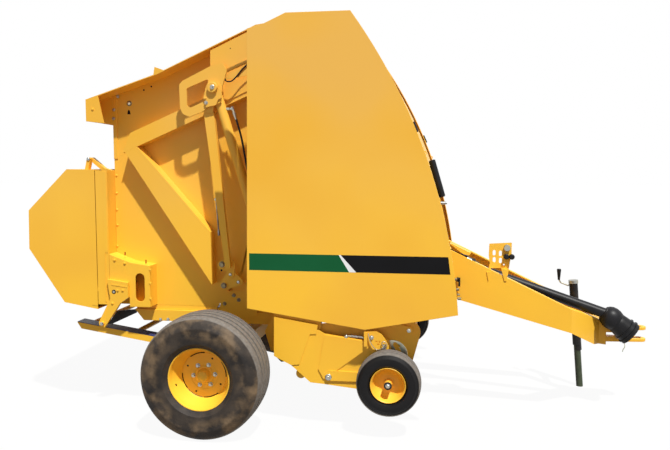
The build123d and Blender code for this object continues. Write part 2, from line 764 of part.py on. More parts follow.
# Net wrap box: a fixed frame on the gate's rear edge and a cover hinged on top
COVER_FRONT = -886.0
COVER_GAP = 6.0               # between the cover's front edge and the frame
FRAME_TOP = 1675.0
FRAME_LOW = 751.0
COVER_HINGE = (-940.0, 1752.0)
COVER_PIN_R = 6.0
EAR_R = 12.0
EARS = (SHEET_OUT + 9, SHEET_OUT + 49)  # the frame's ears; the cover's knuckles stand outside them
EAR_FOOT = (-852.0, 1680.0)
with BuildPart() as net_frame:
    box(GATE_REAR - WALL, GATE_REAR, FRAME_LOW, FRAME_TOP, SHEET_OUT, BOX_HALF - WALL)
    box(COVER_FRONT + COVER_GAP, GATE_REAR, FRAME_LOW, FRAME_TOP, BOX_HALF - WALL, BOX_HALF)
    link(COVER_HINGE, EAR_FOOT, EAR_R, EAR_R, EARS[0], EARS[1] - EARS[0])
    plate(
        [
            (EAR_FOOT[0] - EAR_R, EAR_FOOT[1]),
            (GATE_REAR - WALL, FRAME_TOP - 60),
            (GATE_REAR, FRAME_TOP - 60),
            (GATE_REAR, FRAME_TOP),
            (EAR_FOOT[0], EAR_FOOT[1] + EAR_R),
        ],
        EARS[0],
        EARS[1] - EARS[0],
    )
    pin(COVER_HINGE, COVER_PIN_R, EARS[1], EARS[1] + KNUCKLE_L)
    both_sides()
    inside = BOX_HALF - WALL
    box(COVER_FRONT + COVER_GAP, GATE_REAR - WALL, FRAME_LOW, FRAME_LOW + WALL, -inside, inside)
finish(net_frame, "net_frame")

COVER_TOP = 1683.0
cover_outline = [
    (COVER_FRONT, COVER_TOP - 3), (-1088, COVER_TOP), (-1382, 1397),
    (-BOX_REACH, 1128), (-1132, 757), (COVER_FRONT, 716),
]
with BuildPart() as net_cover:
    across(cover_outline, BOX_HALF)
    with BuildSketch(side_plane(BOX_HALF - WALL)):
        with BuildLine():
            Polyline(*cover_outline, close=True)
        make_face()
        offset(amount=-WALL, mode=Mode.REPLACE)
    extrude(amount=2 * (BOX_HALF - WALL), mode=Mode.SUBTRACT)
    box(COVER_FRONT - WALL - 1, COVER_FRONT, 722, 1674, -BOX_HALF + WALL, BOX_HALF - WALL, Mode.SUBTRACT)
    link(COVER_HINGE, (COVER_HINGE[0] - 16, COVER_TOP - 2), EAR_R, EAR_R, EARS[1] + FIT, KNUCKLE_L - FIT)
    pin(COVER_HINGE, COVER_PIN_R + FIT, EARS[1], EARS[1] + KNUCKLE_L + 1, Mode.SUBTRACT)
    both_sides()
finish(net_cover, "net_cover")

BRACKET_FACE = GATE_FACE + 20.0
with BuildPart() as corner_brackets:
    pressed(
        [
            (-792, 1103), (-766, 1091), (-640, 1046), (-500, 1027),
            (-500, 741), (-650, 740), (-650, 890), (-792, 905),
        ],
        SHEET_OUT,
        BRACKET_FACE,
    )
    with BuildSketch(side_plane(-BRACKET_FACE + 2 * WALL)):
        with Locations(Location((-572, 876), 90)):
            SlotOverall(194, 66)
    extrude(amount=3 * WALL, mode=Mode.SUBTRACT)
    both_sides()
finish(corner_brackets, "corner_brackets")

GATE_ARM_PIN = (-850.0, 619.0)
GATE_ARM_DEPTH = 25.0
with BuildPart() as gate_arms:
    pressed(
        [(-800, 931), (-650, 911), (-649, 808), (-708, 767), (-829, 592), (-812, 690), (-780, 800)],
        BRACKET_FACE,
        BRACKET_FACE + GATE_ARM_DEPTH,
    )
    link((-715, 850), GATE_ARM_PIN, 40, 28, BRACKET_FACE, WALL)
    pin(GATE_ARM_PIN, 14, BRACKET_FACE - 10, BRACKET_FACE + 20)
    both_sides()
finish(gate_arms, "gate_arms")

# Tailgate rams

ram_dx, ram_dz = RAM_FOOT[0] - RAM_PIN[0], RAM_FOOT[1] - RAM_PIN[1]
RAM_LENGTH = hypot(ram_dx, ram_dz)


def ram_plane(side, down):
    """A plane square to the ram's axis, this far from its upper pin, z towards the foot."""
    s = down / RAM_LENGTH
    at = (AXLE_X + RAM_PIN[0] + ram_dx * s, side * RAM_Y, RAM_PIN[1] + ram_dz * s)
    return Plane(origin=at, x_dir=(0, 1, 0), z_dir=(ram_dx, 0, ram_dz))


for side, name in ((-1, "right"), (1, "left")):
    with BuildPart() as barrel:
        with BuildSketch(ram_plane(side, 30)):
            Circle(RAM_R)
        extrude(amount=RAM_BARREL)
        with BuildSketch(side_plane(side * RAM_Y + 28)):
            with Locations(RAM_PIN):
                Circle(36)
        extrude(amount=56)
        with BuildSketch(side_plane(side * RAM_Y + 40)):
            with Locations(RAM_PIN):
                Circle(PIN_R + FIT)
        extrude(amount=80, mode=Mode.SUBTRACT)
        with BuildSketch(ram_plane(side, RAM_BARREL + 30)):
            Circle(ROD_R + FIT)
        extrude(amount=-RAM_BARREL + 60, mode=Mode.SUBTRACT)
    finish(barrel, f"ram_barrel_{name}")
    with BuildPart() as rod:
        with BuildSketch(ram_plane(side, 140)):
            Circle(ROD_R)
        extrude(amount=RAM_LENGTH - 140 - EYE_R / 2)
        with BuildSketch(side_plane(side * RAM_Y + EYE_HALF)):
            with Locations(RAM_FOOT):
                Circle(EYE_R)
        extrude(amount=2 * EYE_HALF)
        with BuildSketch(side_plane(side * RAM_Y + (EYE_HALF if side < 0 else EYE_HALF + 8))):
            with Locations(RAM_FOOT):
                Circle(PIN_R)
        extrude(amount=2 * EYE_HALF + 8)
    finish(rod, f"ram_rod_{name}")

with BuildPart() as ram_lugs:
    pin(RAM_FOOT, 60, SHEET_OUT, RAM_Y - EYE_HALF - FOOT_GAP)
    both_sides()
finish(ram_lugs, "ram_lugs")

# Bale ramp

ramp_dx, ramp_dz = RAMP_END[0] - RAMP_HINGE[0], RAMP_END[1] - RAMP_HINGE[1]
with BuildPart() as bale_ramp:
    low = [RAMP_HINGE, RAMP_END]
    up = [(x, z + RAMP_H / 2) for x, z in low]
    down = [(x, z - RAMP_H / 2) for x, z in low]
    down[1] = (down[1][0] + 30, down[1][1])
    plate([up[0], up[1], down[1], down[0]], RAMP_IN, RAMP_OUT - RAMP_IN)
    hollow = [(up[0][0] - 60, up[0][1]), (up[1][0] + 30, up[1][1]), down[1], (down[0][0] - 60, down[0][1])]
    hollow = [(x, z - 10) for x, z in hollow]
    plate(hollow, RAMP_IN + WALL, RAMP_OUT - RAMP_IN - 2 * WALL, Mode.SUBTRACT)
    pin(RAMP_HINGE, RAMP_H / 2, RAMP_IN, RAMP_OUT)
    pin(RAMP_HINGE, RAMP_PIN_R + FIT, RAMP_IN, RAMP_OUT, Mode.SUBTRACT)
    both_sides()
    for x in RAMP_TUBES:
        pin((x, on_line(RAMP_HINGE, RAMP_END, x)), 18, -RAMP_IN, RAMP_IN)
finish(bale_ramp, "bale_ramp")

# Pickup

with BuildPart() as feeder_sides:
    plate([(395, 790), (700, 745), (700, 657), (600, 532), (560, 490), (480, 440), (395, 468)], FEED_IN, WALL)
    box(389, 395, 468, 790, RAIL_OUT, FEED_IN + WALL)
    pin(PICK_PIVOT, 15, FEED_IN + WALL, PICK_SIDE_IN + 10)
    both_sides()
finish(feeder_sides, "feeder_sides")

REEL_END = 190.0
with BuildPart() as pickup_sides:
    plate(
        [
            (446, 582), (636, 640), (990, 593), (1060, 655), (1140, 600),
            (1190, 420), (1028, 300), (932, 285), (636, 314), (590, 417),
        ],
        PICK_SIDE_IN,
        WALL,
    )
    pin(PICK_PIVOT, 15 + FIT, PICK_SIDE_IN, PICK_SIDE_IN + WALL, Mode.SUBTRACT)
    box(700, 1000, 400, 560, PICK_HALF + WALL, PICK_SIDE_IN)
    with BuildSketch(side_plane(-PICK_SIDE_IN - WALL)) as arm:
        for at, radius in (((764, 356), 40), (GAUGE_AT, 40), ((1030, 560), 24)):
            with Locations(at):
                Circle(radius)
        make_hull()
    extrude(arm.sketch, amount=WALL)
    plate([(985, 652), (1065, 656), (1146, 548), (1029, 543)], PICK_SIDE_IN + 2 * WALL, WALL)
    pin(GAUGE_AT, GAUGE_PIN_R, PICK_SIDE_IN + 2 * WALL, GAUGE_OUT - GAUGE_DISC)
    with BuildSketch(side_plane(-PICK_HALF)):
        with Locations(REEL_AT):
            Circle(REEL_END)
        with Locations((1264, 650)):
            Circle(75)
        with Locations((700, 520)):
            Circle(110)
        make_hull()
    extrude(amount=WALL)
    pin(REEL_AT, REEL_STUB_R, PICK_HALF - REEL_STUB, PICK_HALF)
    both_sides()
finish(pickup_sides, "pickup_sides")

# Slotted covers over the reel's ends, in front of the side plates
REEL_COVER = (1165.0, 500.0)
REEL_COVER_R = 95.0
with BuildPart() as reel_covers:
    pin(REEL_COVER, REEL_COVER_R, PICK_HALF + WALL, PICK_HALF + WALL + 8)
    with BuildSketch(side_plane(-PICK_HALF - WALL)) as holes:
        with Locations(REEL_COVER):
            with PolarLocations(70, 6):
                SlotOverall(30, 14, rotation=90)
    extrude(holes.sketch, amount=8, mode=Mode.SUBTRACT)
    both_sides()
finish(reel_covers, "reel_covers")

# Windguard: a tube ahead of the reel with rods that hold the crop down
WIND_TUBE = (1290.0, 690.0)
WIND_TUBE_R = 22.0
WIND_REAR = (880.0, 760.0)
WIND_RODS = 12
WIND_ROD_R = 5.0
with BuildPart() as windguard:
    pin(WIND_TUBE, WIND_TUBE_R, -PICK_HALF, PICK_HALF)
    pitch = 2 * PICK_HALF / (WIND_RODS + 1)
    rows = [(i - (WIND_RODS - 1) / 2) * pitch for i in range(WIND_RODS)]
    ends = [((WIND_TUBE[0], y, WIND_TUBE[1]), (WIND_REAR[0], y, WIND_REAR[1])) for y in rows]
    with BuildSketch(*[along(*rod) for rod in ends]) as sections:
        Circle(WIND_ROD_R)
    extrude(sections.sketch, amount=span(*ends[0]))
finish(windguard, "windguard")

with BuildPart() as stripper_bands:
    with BuildSketch(*side_planes(BANDS, BAND_PITCH, BAND_W)):
        with Locations(REEL_AT):
            Circle(BAND_R)
        with Locations(BAND_TAIL):
            Circle(BAND_TAIL_R)
        make_hull()
        offset(amount=BAND_T)
        with BuildSketch(mode=Mode.SUBTRACT):
            with Locations(REEL_AT):
                Circle(BAND_R)
            with Locations(BAND_TAIL):
                Circle(BAND_TAIL_R)
            make_hull()
    extrude(amount=BAND_W)
    tail_x, tail_z = BAND_TAIL
    box(tail_x - 15, tail_x + 15, tail_z - 15, tail_z + BAND_TAIL_R + 1, -PICK_HALF, PICK_HALF)
finish(stripper_bands, "stripper_bands")

with BuildPart() as pickup_reel:
    pin(REEL_AT, REEL_TUBE_R, -REEL_HALF, REEL_HALF)
    middles = side_planes(BANDS - 1, BAND_PITCH, TINE_D)
    for pair in (-TINE_SPREAD, TINE_SPREAD):
        with BuildSketch(*[side_plane(plane.origin.Y + pair) for plane in middles]):
            with Locations(REEL_AT):
                for bar in range(TINE_BARS):
                    turn = TINE_TURN + bar * 360 / TINE_BARS
                    Rectangle(TINE_TIP_R, TINE_D, rotation=turn, align=(Align.MIN, Align.CENTER))
        extrude(amount=TINE_D)
    for end in (-REEL_HALF, REEL_HALF - 30):
        pin(REEL_AT, REEL_STUB_R + FIT, end, end + 30, Mode.SUBTRACT)
finish(pickup_reel, "pickup_reel")

# Wheels

for side, name in ((-1, "right"), (1, "left")):
    for kind, at, radius, width, rim, out, bore, disc, hub, cap, slot in (
        ("tyre", AXLE, TYRE_R, TYRE_W, RIM_R, WHEEL_OUT, SPINDLE_R, DISC_IN, HUB_R, 36, 146),
        ("gauge", GAUGE_AT, GAUGE_R, GAUGE_W, GAUGE_RIM_R, GAUGE_OUT, GAUGE_PIN_R, GAUGE_DISC, 30, 24, 0),
    ):
        middle = (AXLE_X + at[0], side * (out - width / 2), at[1])
        centre = Plane(origin=middle, x_dir=(1, 0, 0), z_dir=(0, side, 0))
        half = width / 2
        shoulder = 0.16 * (radius - rim)
        with BuildPart() as tyre:
            bulge = rim + 0.5 * (radius - rim)
            side_wall = [(rim, 20), (rim + 20, 4), (bulge, 0), (radius - 1.6 * shoulder, 8), (radius, 56)]
            turned(centre, [(r, -half + y) for r, y in side_wall] + [(r, half - y) for r, y in side_wall[::-1]])
        finish(tyre, f"{kind}_{name}" if kind == "tyre" else f"gauge_tyre_{name}")
        with BuildPart() as wheel:
            face = half - disc
            turned(centre, [
                (rim, -half + 20), (rim, half - 20), (rim - 8, half - 20), (rim - 8, face + 8),
                (hub, face + 8), (hub, face + 22), (cap, face + 28), (cap, face + 46), (cap - 8, face + 54),
                (0, face + 54), (0, face + 1), (bore + FIT, face + 1), (bore + FIT, face - 90),
                (hub, face - 90), (hub, face), (rim - 8, face), (rim - 8, -half + 20),
            ])
            if slot:
                with BuildSketch(centre.offset(face)) as slots:
                    for turn in range(5):
                        SlotArc(CenterArc((0, 0), slot, 72 * turn, 40), height=12)
                extrude(slots.sketch, amount=8, mode=Mode.SUBTRACT)
        finish(wheel, f"rim_{name}" if kind == "tyre" else f"gauge_rim_{name}")

# Side shields

SHIELD_LOW = 802.0            # the foot of the shields' curved front edge
SHIELD_CORNERS = ((509, TOP_Z), (374, 2574), (267, 2546), (249, 803), (1004, 692))
with BuildLine() as shield_edge:
    Polyline(front(TOP_Z), *SHIELD_CORNERS, front(SHIELD_LOW))
    ThreePointArc(front(SHIELD_LOW), front((SHIELD_LOW + TOP_Z) / 2), front(TOP_Z))

for side, name in ((-1, "right"), (1, "left")):
    with BuildPart() as shield:
        sheet = SHIELD_OUT if side > 0 else -SHIELD_OUT + SHIELD_T
        turned_in = SHIELD_OUT - SHIELD_T if side > 0 else -SHIELD_OUT + SHIELD_T + FLANGE
        with BuildSketch(side_plane(sheet)) as outline:
            make_face(shield_edge.edges())
        extrude(outline.sketch, amount=SHIELD_T)
        with BuildSketch(side_plane(turned_in)) as edge:
            make_face(shield_edge.edges())
            offset(amount=-SHIELD_T, mode=Mode.SUBTRACT)
            with Locations((FRONT_R / 4, FLANGE_TOP)):
                Rectangle(FRONT_R, TOP_Z, align=(Align.CENTER, Align.MIN), mode=Mode.SUBTRACT)
        extrude(edge.sketch, amount=FLANGE)
        for x in KNUCKLES:
            for step in (-KNUCKLE_L - FIT, KNUCKLE_L + FIT):
                along_hinge(side, x + step, KNUCKLE_L, KNUCKLE_R)
                along_hinge(side, x + step, KNUCKLE_L, SHIELD_PIN_R + FIT, Mode.SUBTRACT)
    finish(shield, f"shield_{name}")

# Jack

with BuildPart() as jack_tube:
    with BuildSketch(jack_plane(JACK_TUBE)):
        Circle(JACK_R)
        Circle(LEG_R + FIT, mode=Mode.SUBTRACT)
    extrude(amount=JACK_TUBE)
    with BuildSketch(jack_plane(0)):
        Circle(JACK_R + 4)
    extrude(amount=24)
    swivel = jack_point(JACK_SWIVEL)
    pin(swivel, 40, -JACK_Y + JACK_R - 4, -SWIVEL_FACE - FIT)
    pin(swivel, 12 + FIT, -SWIVEL_FACE - 13, -SWIVEL_FACE, Mode.SUBTRACT)
finish(jack_tube, "jack_tube")

# The jack's crank: a short shaft out of its head, an arm and a grip
CRANK_SHAFT = 52.0
CRANK_R = 8.0
CRANK_BEND = (-104.0, 38.0)   # from the jack's top
CRANK_GRIP = (-136.0, 120.0)
with BuildPart() as jack_crank:
    head = (JACK_TOP[0] - JACK_R - 4 - CRANK_R - 2 * FIT, JACK_TOP[1] - CRANK_R)
    points = [
        head,
        (JACK_TOP[0] - CRANK_SHAFT, head[1]),
        (JACK_TOP[0] + CRANK_BEND[0], JACK_TOP[1] + CRANK_BEND[1]),
        (JACK_TOP[0] + CRANK_GRIP[0], JACK_TOP[1] + CRANK_GRIP[1]),
    ]
    for (a, b), radius in zip(zip(points, points[1:]), (CRANK_R, CRANK_R - 1, CRANK_R + 4)):
        link(a, b, radius, radius, -JACK_Y - radius, 2 * radius)
finish(jack_crank, "jack_crank")

with BuildPart() as jack_leg:
    with BuildSketch(jack_plane(JACK_TUBE - LEG_IN)):
        Circle(LEG_R)
    extrude(amount=-(jack_run - JACK_TUBE + LEG_IN + 40))
    split(bisect_by=Plane.XY, keep=Keep.TOP)
finish(jack_leg, "jack_leg")
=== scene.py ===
# %% [markdown]
# # A trailed round baler, dressed for a studio picture
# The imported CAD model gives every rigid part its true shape. This lesson loads it as a frame, lights it,
# gives each node the finish of the real part, and adds what CAD leaves out: tyre ribs, bolts, coloured film.

# %% Load the frame
import json
import math

import bmesh
import bpy
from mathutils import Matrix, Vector
from mathutils.geometry import convex_hull_2d

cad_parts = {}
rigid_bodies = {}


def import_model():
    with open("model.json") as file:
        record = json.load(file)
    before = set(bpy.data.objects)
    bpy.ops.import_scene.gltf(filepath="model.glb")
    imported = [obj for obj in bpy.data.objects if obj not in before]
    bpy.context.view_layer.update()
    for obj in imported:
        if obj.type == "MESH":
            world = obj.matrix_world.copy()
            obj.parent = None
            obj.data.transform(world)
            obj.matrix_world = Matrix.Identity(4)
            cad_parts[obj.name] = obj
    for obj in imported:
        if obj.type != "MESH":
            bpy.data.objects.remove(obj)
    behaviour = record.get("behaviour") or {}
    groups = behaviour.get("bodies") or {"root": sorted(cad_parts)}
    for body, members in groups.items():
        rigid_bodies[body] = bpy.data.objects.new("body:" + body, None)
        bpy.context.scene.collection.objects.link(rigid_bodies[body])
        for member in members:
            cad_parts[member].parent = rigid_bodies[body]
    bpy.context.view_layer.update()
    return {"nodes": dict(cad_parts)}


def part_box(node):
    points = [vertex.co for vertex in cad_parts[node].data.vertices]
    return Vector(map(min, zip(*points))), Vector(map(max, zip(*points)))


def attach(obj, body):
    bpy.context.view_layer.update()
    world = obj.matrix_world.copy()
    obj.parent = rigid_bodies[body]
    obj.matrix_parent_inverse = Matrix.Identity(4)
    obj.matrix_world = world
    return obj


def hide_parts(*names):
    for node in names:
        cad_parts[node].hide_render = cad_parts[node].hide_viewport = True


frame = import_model()
nodes = frame["nodes"]

AXLE_X = -0.758  # the main axle stands this far behind the middle of the machine
MM = 0.001
SIDES = (("right", -1), ("left", 1))


# %% [markdown]
# ## Small helpers
# Colours are written as sRGB hex, the way a paint card gives them, and one function makes them linear.
# Places are written as millimetres ahead of the axle, to the left and above the ground, as in the CAD.

# %% Colour, place and node helpers
def linear(code, alpha=1.0):
    """An sRGB hex colour as linear RGBA."""
    parts = [int(code[i : i + 2], 16) / 255 for i in (1, 3, 5)]
    return tuple(c / 12.92 if c <= 0.04045 else ((c + 0.055) / 1.055) ** 2.4 for c in parts) + (alpha,)


def at(x, y, z):
    """Millimetres from the axle as a point in the scene."""
    return Vector((AXLE_X + x * MM, y * MM, z * MM))


def add_node(tree, kind, settings=None, links=None):
    """A shader node with its settings (inputs by name or number, else properties) and its incoming links."""
    node = tree.nodes.new(kind)
    for key, value in (settings or {}).items():
        if isinstance(key, int) or key in node.inputs:
            node.inputs[key].default_value = value
        else:
            setattr(node, key, value)
    for key, source in (links or {}).items():
        tree.links.new(source, node.inputs[key])
    return node


# %% [markdown]
# ## The camera
# The photograph was taken from the machine's right, a little above shoulder height, looking slightly down
# and back. Its distance and lens were worked out from the two standard tyres.

# %% Camera
CAMERA_AT = (0.733, -5.2, 1.698)
CAMERA_YAW = 9.03
CAMERA_PITCH = 4.73
CAMERA_LENS = 37.67
CAMERA_FILM = 36

camera = bpy.data.objects.new("camera", bpy.data.cameras.new("camera"))
bpy.context.scene.collection.objects.link(camera)
camera.location = CAMERA_AT
camera.rotation_euler = (math.radians(90 - CAMERA_PITCH), 0, math.radians(CAMERA_YAW))
camera.data.lens = CAMERA_LENS
camera.data.sensor_width = CAMERA_FILM
bpy.context.scene.camera = camera
bpy.context.scene.view_settings.view_transform = "Standard"
print("camera at", CAMERA_AT, "lens", CAMERA_LENS)

# %% [markdown]
# ## Sun
# The picture shows high sun from the near side, whose shadows fall steeply down the panels. A sun lamp
# gives such parallel light. Its angle sets how soft the edge of a shadow is, and real sun is half a degree
# wide. It is wider here, because a thin haze had softened the shadows.

# %% Sun lamp
SUN_FROM = Vector((115, -177, 376))
SUN_STRENGTH = 4.7
SUN_WIDTH = 1.6
SUN_TINT = (1.0, 0.985, 0.95)


def add_sun(name):
    """A sun lamp of the picture's height, strength and colour."""
    lamp = bpy.data.objects.new(name, bpy.data.lights.new(name, "SUN"))
    bpy.context.scene.collection.objects.link(lamp)
    lamp.rotation_euler = SUN_FROM.to_track_quat("Z", "Y").to_euler()
    lamp.data.energy = SUN_STRENGTH
    lamp.data.angle = math.radians(SUN_WIDTH)
    lamp.data.color = SUN_TINT
    return lamp


sun = add_sun("sun")
print("sun", round(math.degrees(math.asin(SUN_FROM.normalized().z))), "degrees high")

# %% [markdown]
# ## Sky
# The sky fills the shadows only a little, so the world is even and weak. A picture of a sky could light the
# machine too, but it would bring colours of its own. The camera and mirror-like reflections see plain white
# instead, as before a studio's backdrop, and a light path node tells them from scattered light.

# %% Sky
SKY_LEVEL = 0.36

world = bpy.data.worlds.new("studio")
bpy.context.scene.world = world
world.use_nodes = True
sky = world.node_tree
sky.nodes.clear()


def seen_directly(tree):
    """A socket that is 1 for camera, glossy and transmission rays, and 0 for scattered light."""
    rays = add_node(tree, "ShaderNodeLightPath")
    pair = add_node(tree, "ShaderNodeMath", {"operation": "MAXIMUM"},
                    {0: rays.outputs["Is Camera Ray"], 1: rays.outputs["Is Transmission Ray"]})
    either = add_node(tree, "ShaderNodeMath", {"operation": "MAXIMUM"},
                      {0: pair.outputs[0], 1: rays.outputs["Is Glossy Ray"]})
    return either.outputs[0]


fill = add_node(sky, "ShaderNodeBackground", {"Color": linear("#EEF4FF"), "Strength": SKY_LEVEL})
white = add_node(sky, "ShaderNodeBackground", {"Color": (1, 1, 1, 1), "Strength": 1.0})
backdrop = add_node(sky, "ShaderNodeMixShader", {},
                    {0: seen_directly(sky), 1: fill.outputs[0], 2: white.outputs[0]})
add_node(sky, "ShaderNodeOutputWorld", {}, {0: backdrop.outputs[0]})
print("sky level", SKY_LEVEL)

# %% [markdown]
# ## Floor
# The camera sees a white floor with a soft shadow on it. What the floor throws back at the machine is far
# less, as from the grass or gravel that a baler stands on, so the shaded sheets keep their deep warm brown.
# A mix of glowing and matt surface gives the one, and a darker colour for scattered light the other.

# %% Floor
FLOOR_GLOW = 0.94  # this share of the floor's look is plain white; the rest takes the machine's shadow
FLOOR_REACH = 60.0

floor_finish = bpy.data.materials.new("pale_floor")
floor_finish.use_nodes = True
tree = floor_finish.node_tree
tree.nodes.clear()
seen = seen_directly(tree)
pale = add_node(tree, "ShaderNodeBsdfDiffuse", {"Color": linear("#D8D6D2")})
gravel = add_node(tree, "ShaderNodeBsdfDiffuse", {"Color": linear("#84796A")})
matt = add_node(tree, "ShaderNodeMixShader", {}, {0: seen, 1: gravel.outputs[0], 2: pale.outputs[0]})
glow = add_node(tree, "ShaderNodeEmission", {"Color": (1, 1, 1, 1), "Strength": 1.0})
share = add_node(tree, "ShaderNodeMath", {"operation": "MULTIPLY", 1: FLOOR_GLOW}, {0: seen})
mixed = add_node(tree, "ShaderNodeMixShader", {},
                 {0: share.outputs[0], 1: matt.outputs[0], 2: glow.outputs[0]})
add_node(tree, "ShaderNodeOutputMaterial", {}, {0: mixed.outputs[0]})

floor_mesh = bpy.data.meshes.new("floor")
corners = [(x * FLOOR_REACH, y * FLOOR_REACH, 0) for x, y in ((-1, -1), (1, -1), (1, 1), (-1, 1))]
floor_mesh.from_pydata(corners, [], [(0, 1, 2, 3)])
floor_mesh.materials.append(floor_finish)
floor = bpy.data.objects.new("floor", floor_mesh)
bpy.context.scene.collection.objects.link(floor)
print("floor", 2 * FLOOR_REACH, "metres wide")


# %% [markdown]
# ## Patterns for the finishes
# No surface on a machine is one flat colour: dust, fading and waves of the sheet break it up, and on the
# enamel painted reflections of sky and clouds do too. Blender's noise texture gives such patches, and Object
# coordinates keep it in place when a part moves. Each size below is a real one in millimetres.

# %% Pattern helpers
FIRST, SECOND, MIXED = 6, 7, 2  # the mix node's sockets for colours: two go in and one comes out


def new_finish(name, **inputs):
    """An empty Principled material, with its tree and shader."""
    finish = bpy.data.materials.new(name)
    finish.use_nodes = True
    tree = finish.node_tree
    tree.nodes.clear()
    settings = {key.replace("_", " "): value for key, value in inputs.items()}
    shader = add_node(tree, "ShaderNodeBsdfPrincipled", settings)
    add_node(tree, "ShaderNodeOutputMaterial", {}, {0: shader.outputs[0]})
    return finish, tree, shader


def cloud(tree, size, detail):
    """Noise whose patches are about this many millimetres across."""
    place = add_node(tree, "ShaderNodeTexCoord")
    settings = {"Scale": 1 / (size * MM), "Detail": detail}
    return add_node(tree, "ShaderNodeTexNoise", settings, {0: place.outputs["Object"]}).outputs[0]


def mottle(tree, size, detail=3.0, low=0.4, high=0.6):
    """Patches from 0 to 1: noise up to low counts as 0, and from high on as 1."""
    return add_node(tree, "ShaderNodeMapRange", {1: low, 2: high}, {0: cloud(tree, size, detail)}).outputs[0]


def two_tones(tree, shader, size, colour, other):
    """Colour a shader in two close tones, in patches of this size."""
    mix = add_node(tree, "ShaderNodeMix",
                   {"data_type": "RGBA", FIRST: linear(colour), SECOND: linear(other)},
                   {0: mottle(tree, size)})
    tree.links.new(mix.outputs[MIXED], shader.inputs["Base Color"])


def roughen(tree, shader, height, size, detail=2.0):
    """Waves or grain of this height and size, in millimetres, on the shader's normal."""
    bump = add_node(tree, "ShaderNodeBump", {"Distance": height * MM}, {"Height": cloud(tree, size, detail)})
    tree.links.new(bump.outputs[0], shader.inputs["Normal"])


# %% [markdown]
# ## Yellow enamel
# Most of the machine is sheet steel under baked yellow enamel. Enamel is a smooth plastic-like film with an
# IOR near 1.5. On wide thin panels it shows the slight waves of the sheet. Its colour is painted a little
# paler towards the top, as painted reflection of the sky together with some fading. It also carries wide
# soft patches of a second tone, which are painted reflection of clouds. Height above the ground, disturbed
# by noise, drives the paler top, so that no panel shows a straight line where it starts.

# %% Enamel
SHEEN_FROM, SHEEN_TO = 1.45, 2.75  # metres above the ground, with the drift of 0 to 1 added
DRIFT = 625  # the edge of the painted sky reflection and fading wanders over this length
SOFT_PATCH = 900  # a soft patch of painted cloud reflection is nearly as wide as a panel
SHEET_WAVE = 600  # a thin sheet waves over about this length between its folds


def enamel(name, fresh, sheen_and_fade, shade, roughness):
    """Baked enamel on sheet steel: fresh below, paler towards the top as painted sky reflection with some
    fading, in wide soft patches of painted cloud reflection.
    """
    finish, tree, shader = new_finish(name, Roughness=roughness, IOR=1.5, Specular_IOR_Level=0.35)
    place = add_node(tree, "ShaderNodeTexCoord")
    parts = add_node(tree, "ShaderNodeSeparateXYZ", {}, {0: place.outputs["Object"]})
    drift = cloud(tree, DRIFT, 2.0)
    height = add_node(tree, "ShaderNodeMath", {"operation": "ADD"}, {0: parts.outputs[2], 1: drift})
    upward = add_node(tree, "ShaderNodeMapRange", {1: SHEEN_FROM, 2: SHEEN_TO}, {0: height.outputs[0]})
    coat = add_node(tree, "ShaderNodeMix",
                    {"data_type": "RGBA", FIRST: linear(fresh), SECOND: linear(sheen_and_fade)},
                    {0: upward.outputs[0]})
    # Painted reflection: patches of the shade tone stand for clouds mirrored in the enamel.
    patchy = add_node(tree, "ShaderNodeMix", {"data_type": "RGBA", SECOND: linear(shade)},
                      {0: mottle(tree, SOFT_PATCH, 2.0, 0.44, 0.66), FIRST: coat.outputs[MIXED]})
    tree.links.new(patchy.outputs[MIXED], shader.inputs["Base Color"])
    roughen(tree, shader, 1.2, SHEET_WAVE)
    return finish


# Painted reflection: the second colour is the paler top of painted sky reflection with some fading, and the
# third is the patches of painted cloud reflection.
yellow_enamel = enamel("yellow_enamel", "#FEC63A", "#F0BA55", "#F5BA3C", 0.42)
print("enamel", yellow_enamel.name)

# %% [markdown]
# ## Black and dark finishes
# Rubber, polyethylene and dark enamel are all smooth or lightly grained skins with an IOR near 1.5. They
# differ in tone, in roughness and in the grain of their mould. The real grain is a few tenths of a
# millimetre across and wouldn't show in the render, so it is drawn 4 mm across here.

# %% Rubber, plastic and dark enamel
GRAIN = 4


def moulded(name, colour, other, roughness, size, height):
    """A moulded or sprayed dark skin in two close tones, with patches of this size."""
    finish, tree, shader = new_finish(name, Roughness=roughness, IOR=1.5, Specular_IOR_Level=0.2)
    two_tones(tree, shader, size, colour, other)
    roughen(tree, shader, height, GRAIN)
    return finish


# Belts of fabric and rubber: matt and brown with crop dust
belt_rubber = moulded("belt_rubber", "#1C1C1D", "#34322F", 0.75, 200, 0.8)
# Blow-moulded polyethylene: black with a waxy, soft-edged shine
black_polyethylene = moulded("black_polyethylene", "#121214", "#1B1B1E", 0.42, 80, 0.2)
# Extruded hose cover: black, a little duller
hose_rubber = moulded("hose_rubber", "#141416", "#212124", 0.5, 50, 0.3)
# Sprayed enamel on rollers, shafts and the jack: black, with a thin film of dust
black_enamel = moulded("black_enamel", "#1B1B1D", "#2A2826", 0.4, 100, 0.2)
# The jack leg's enamel is a grey olive
jack_enamel = moulded("jack_enamel", "#3B4434", "#4A5241", 0.45, 60, 0.3)
# The strip on the bale ramp is worn smooth black enamel, and its blue tone is painted sky reflection
ramp_enamel = moulded("blue_black_enamel", "#343862", "#40446E", 0.35, 100, 0.2)
# A hole with no light in it
pitch_black = moulded("hole_shadow", "#050505", "#080707", 0.9, 50, 0.1)
dark_finishes = (belt_rubber, black_polyethylene, hose_rubber, black_enamel, jack_enamel, ramp_enamel,
                 pitch_black)
print("dark finishes", [finish.name for finish in dark_finishes])


# %% [markdown]
# ## Bare and plated steel
# Fasteners are zinc plated, which looks grey with a soft sheen, or yellow where it was passivated with
# chromate. The rams' rods are ground and chromed, so they mirror. A metal keeps the default IOR, because
# its colour is that of its reflection. Roughness tells plated, chromed and worn steel apart.

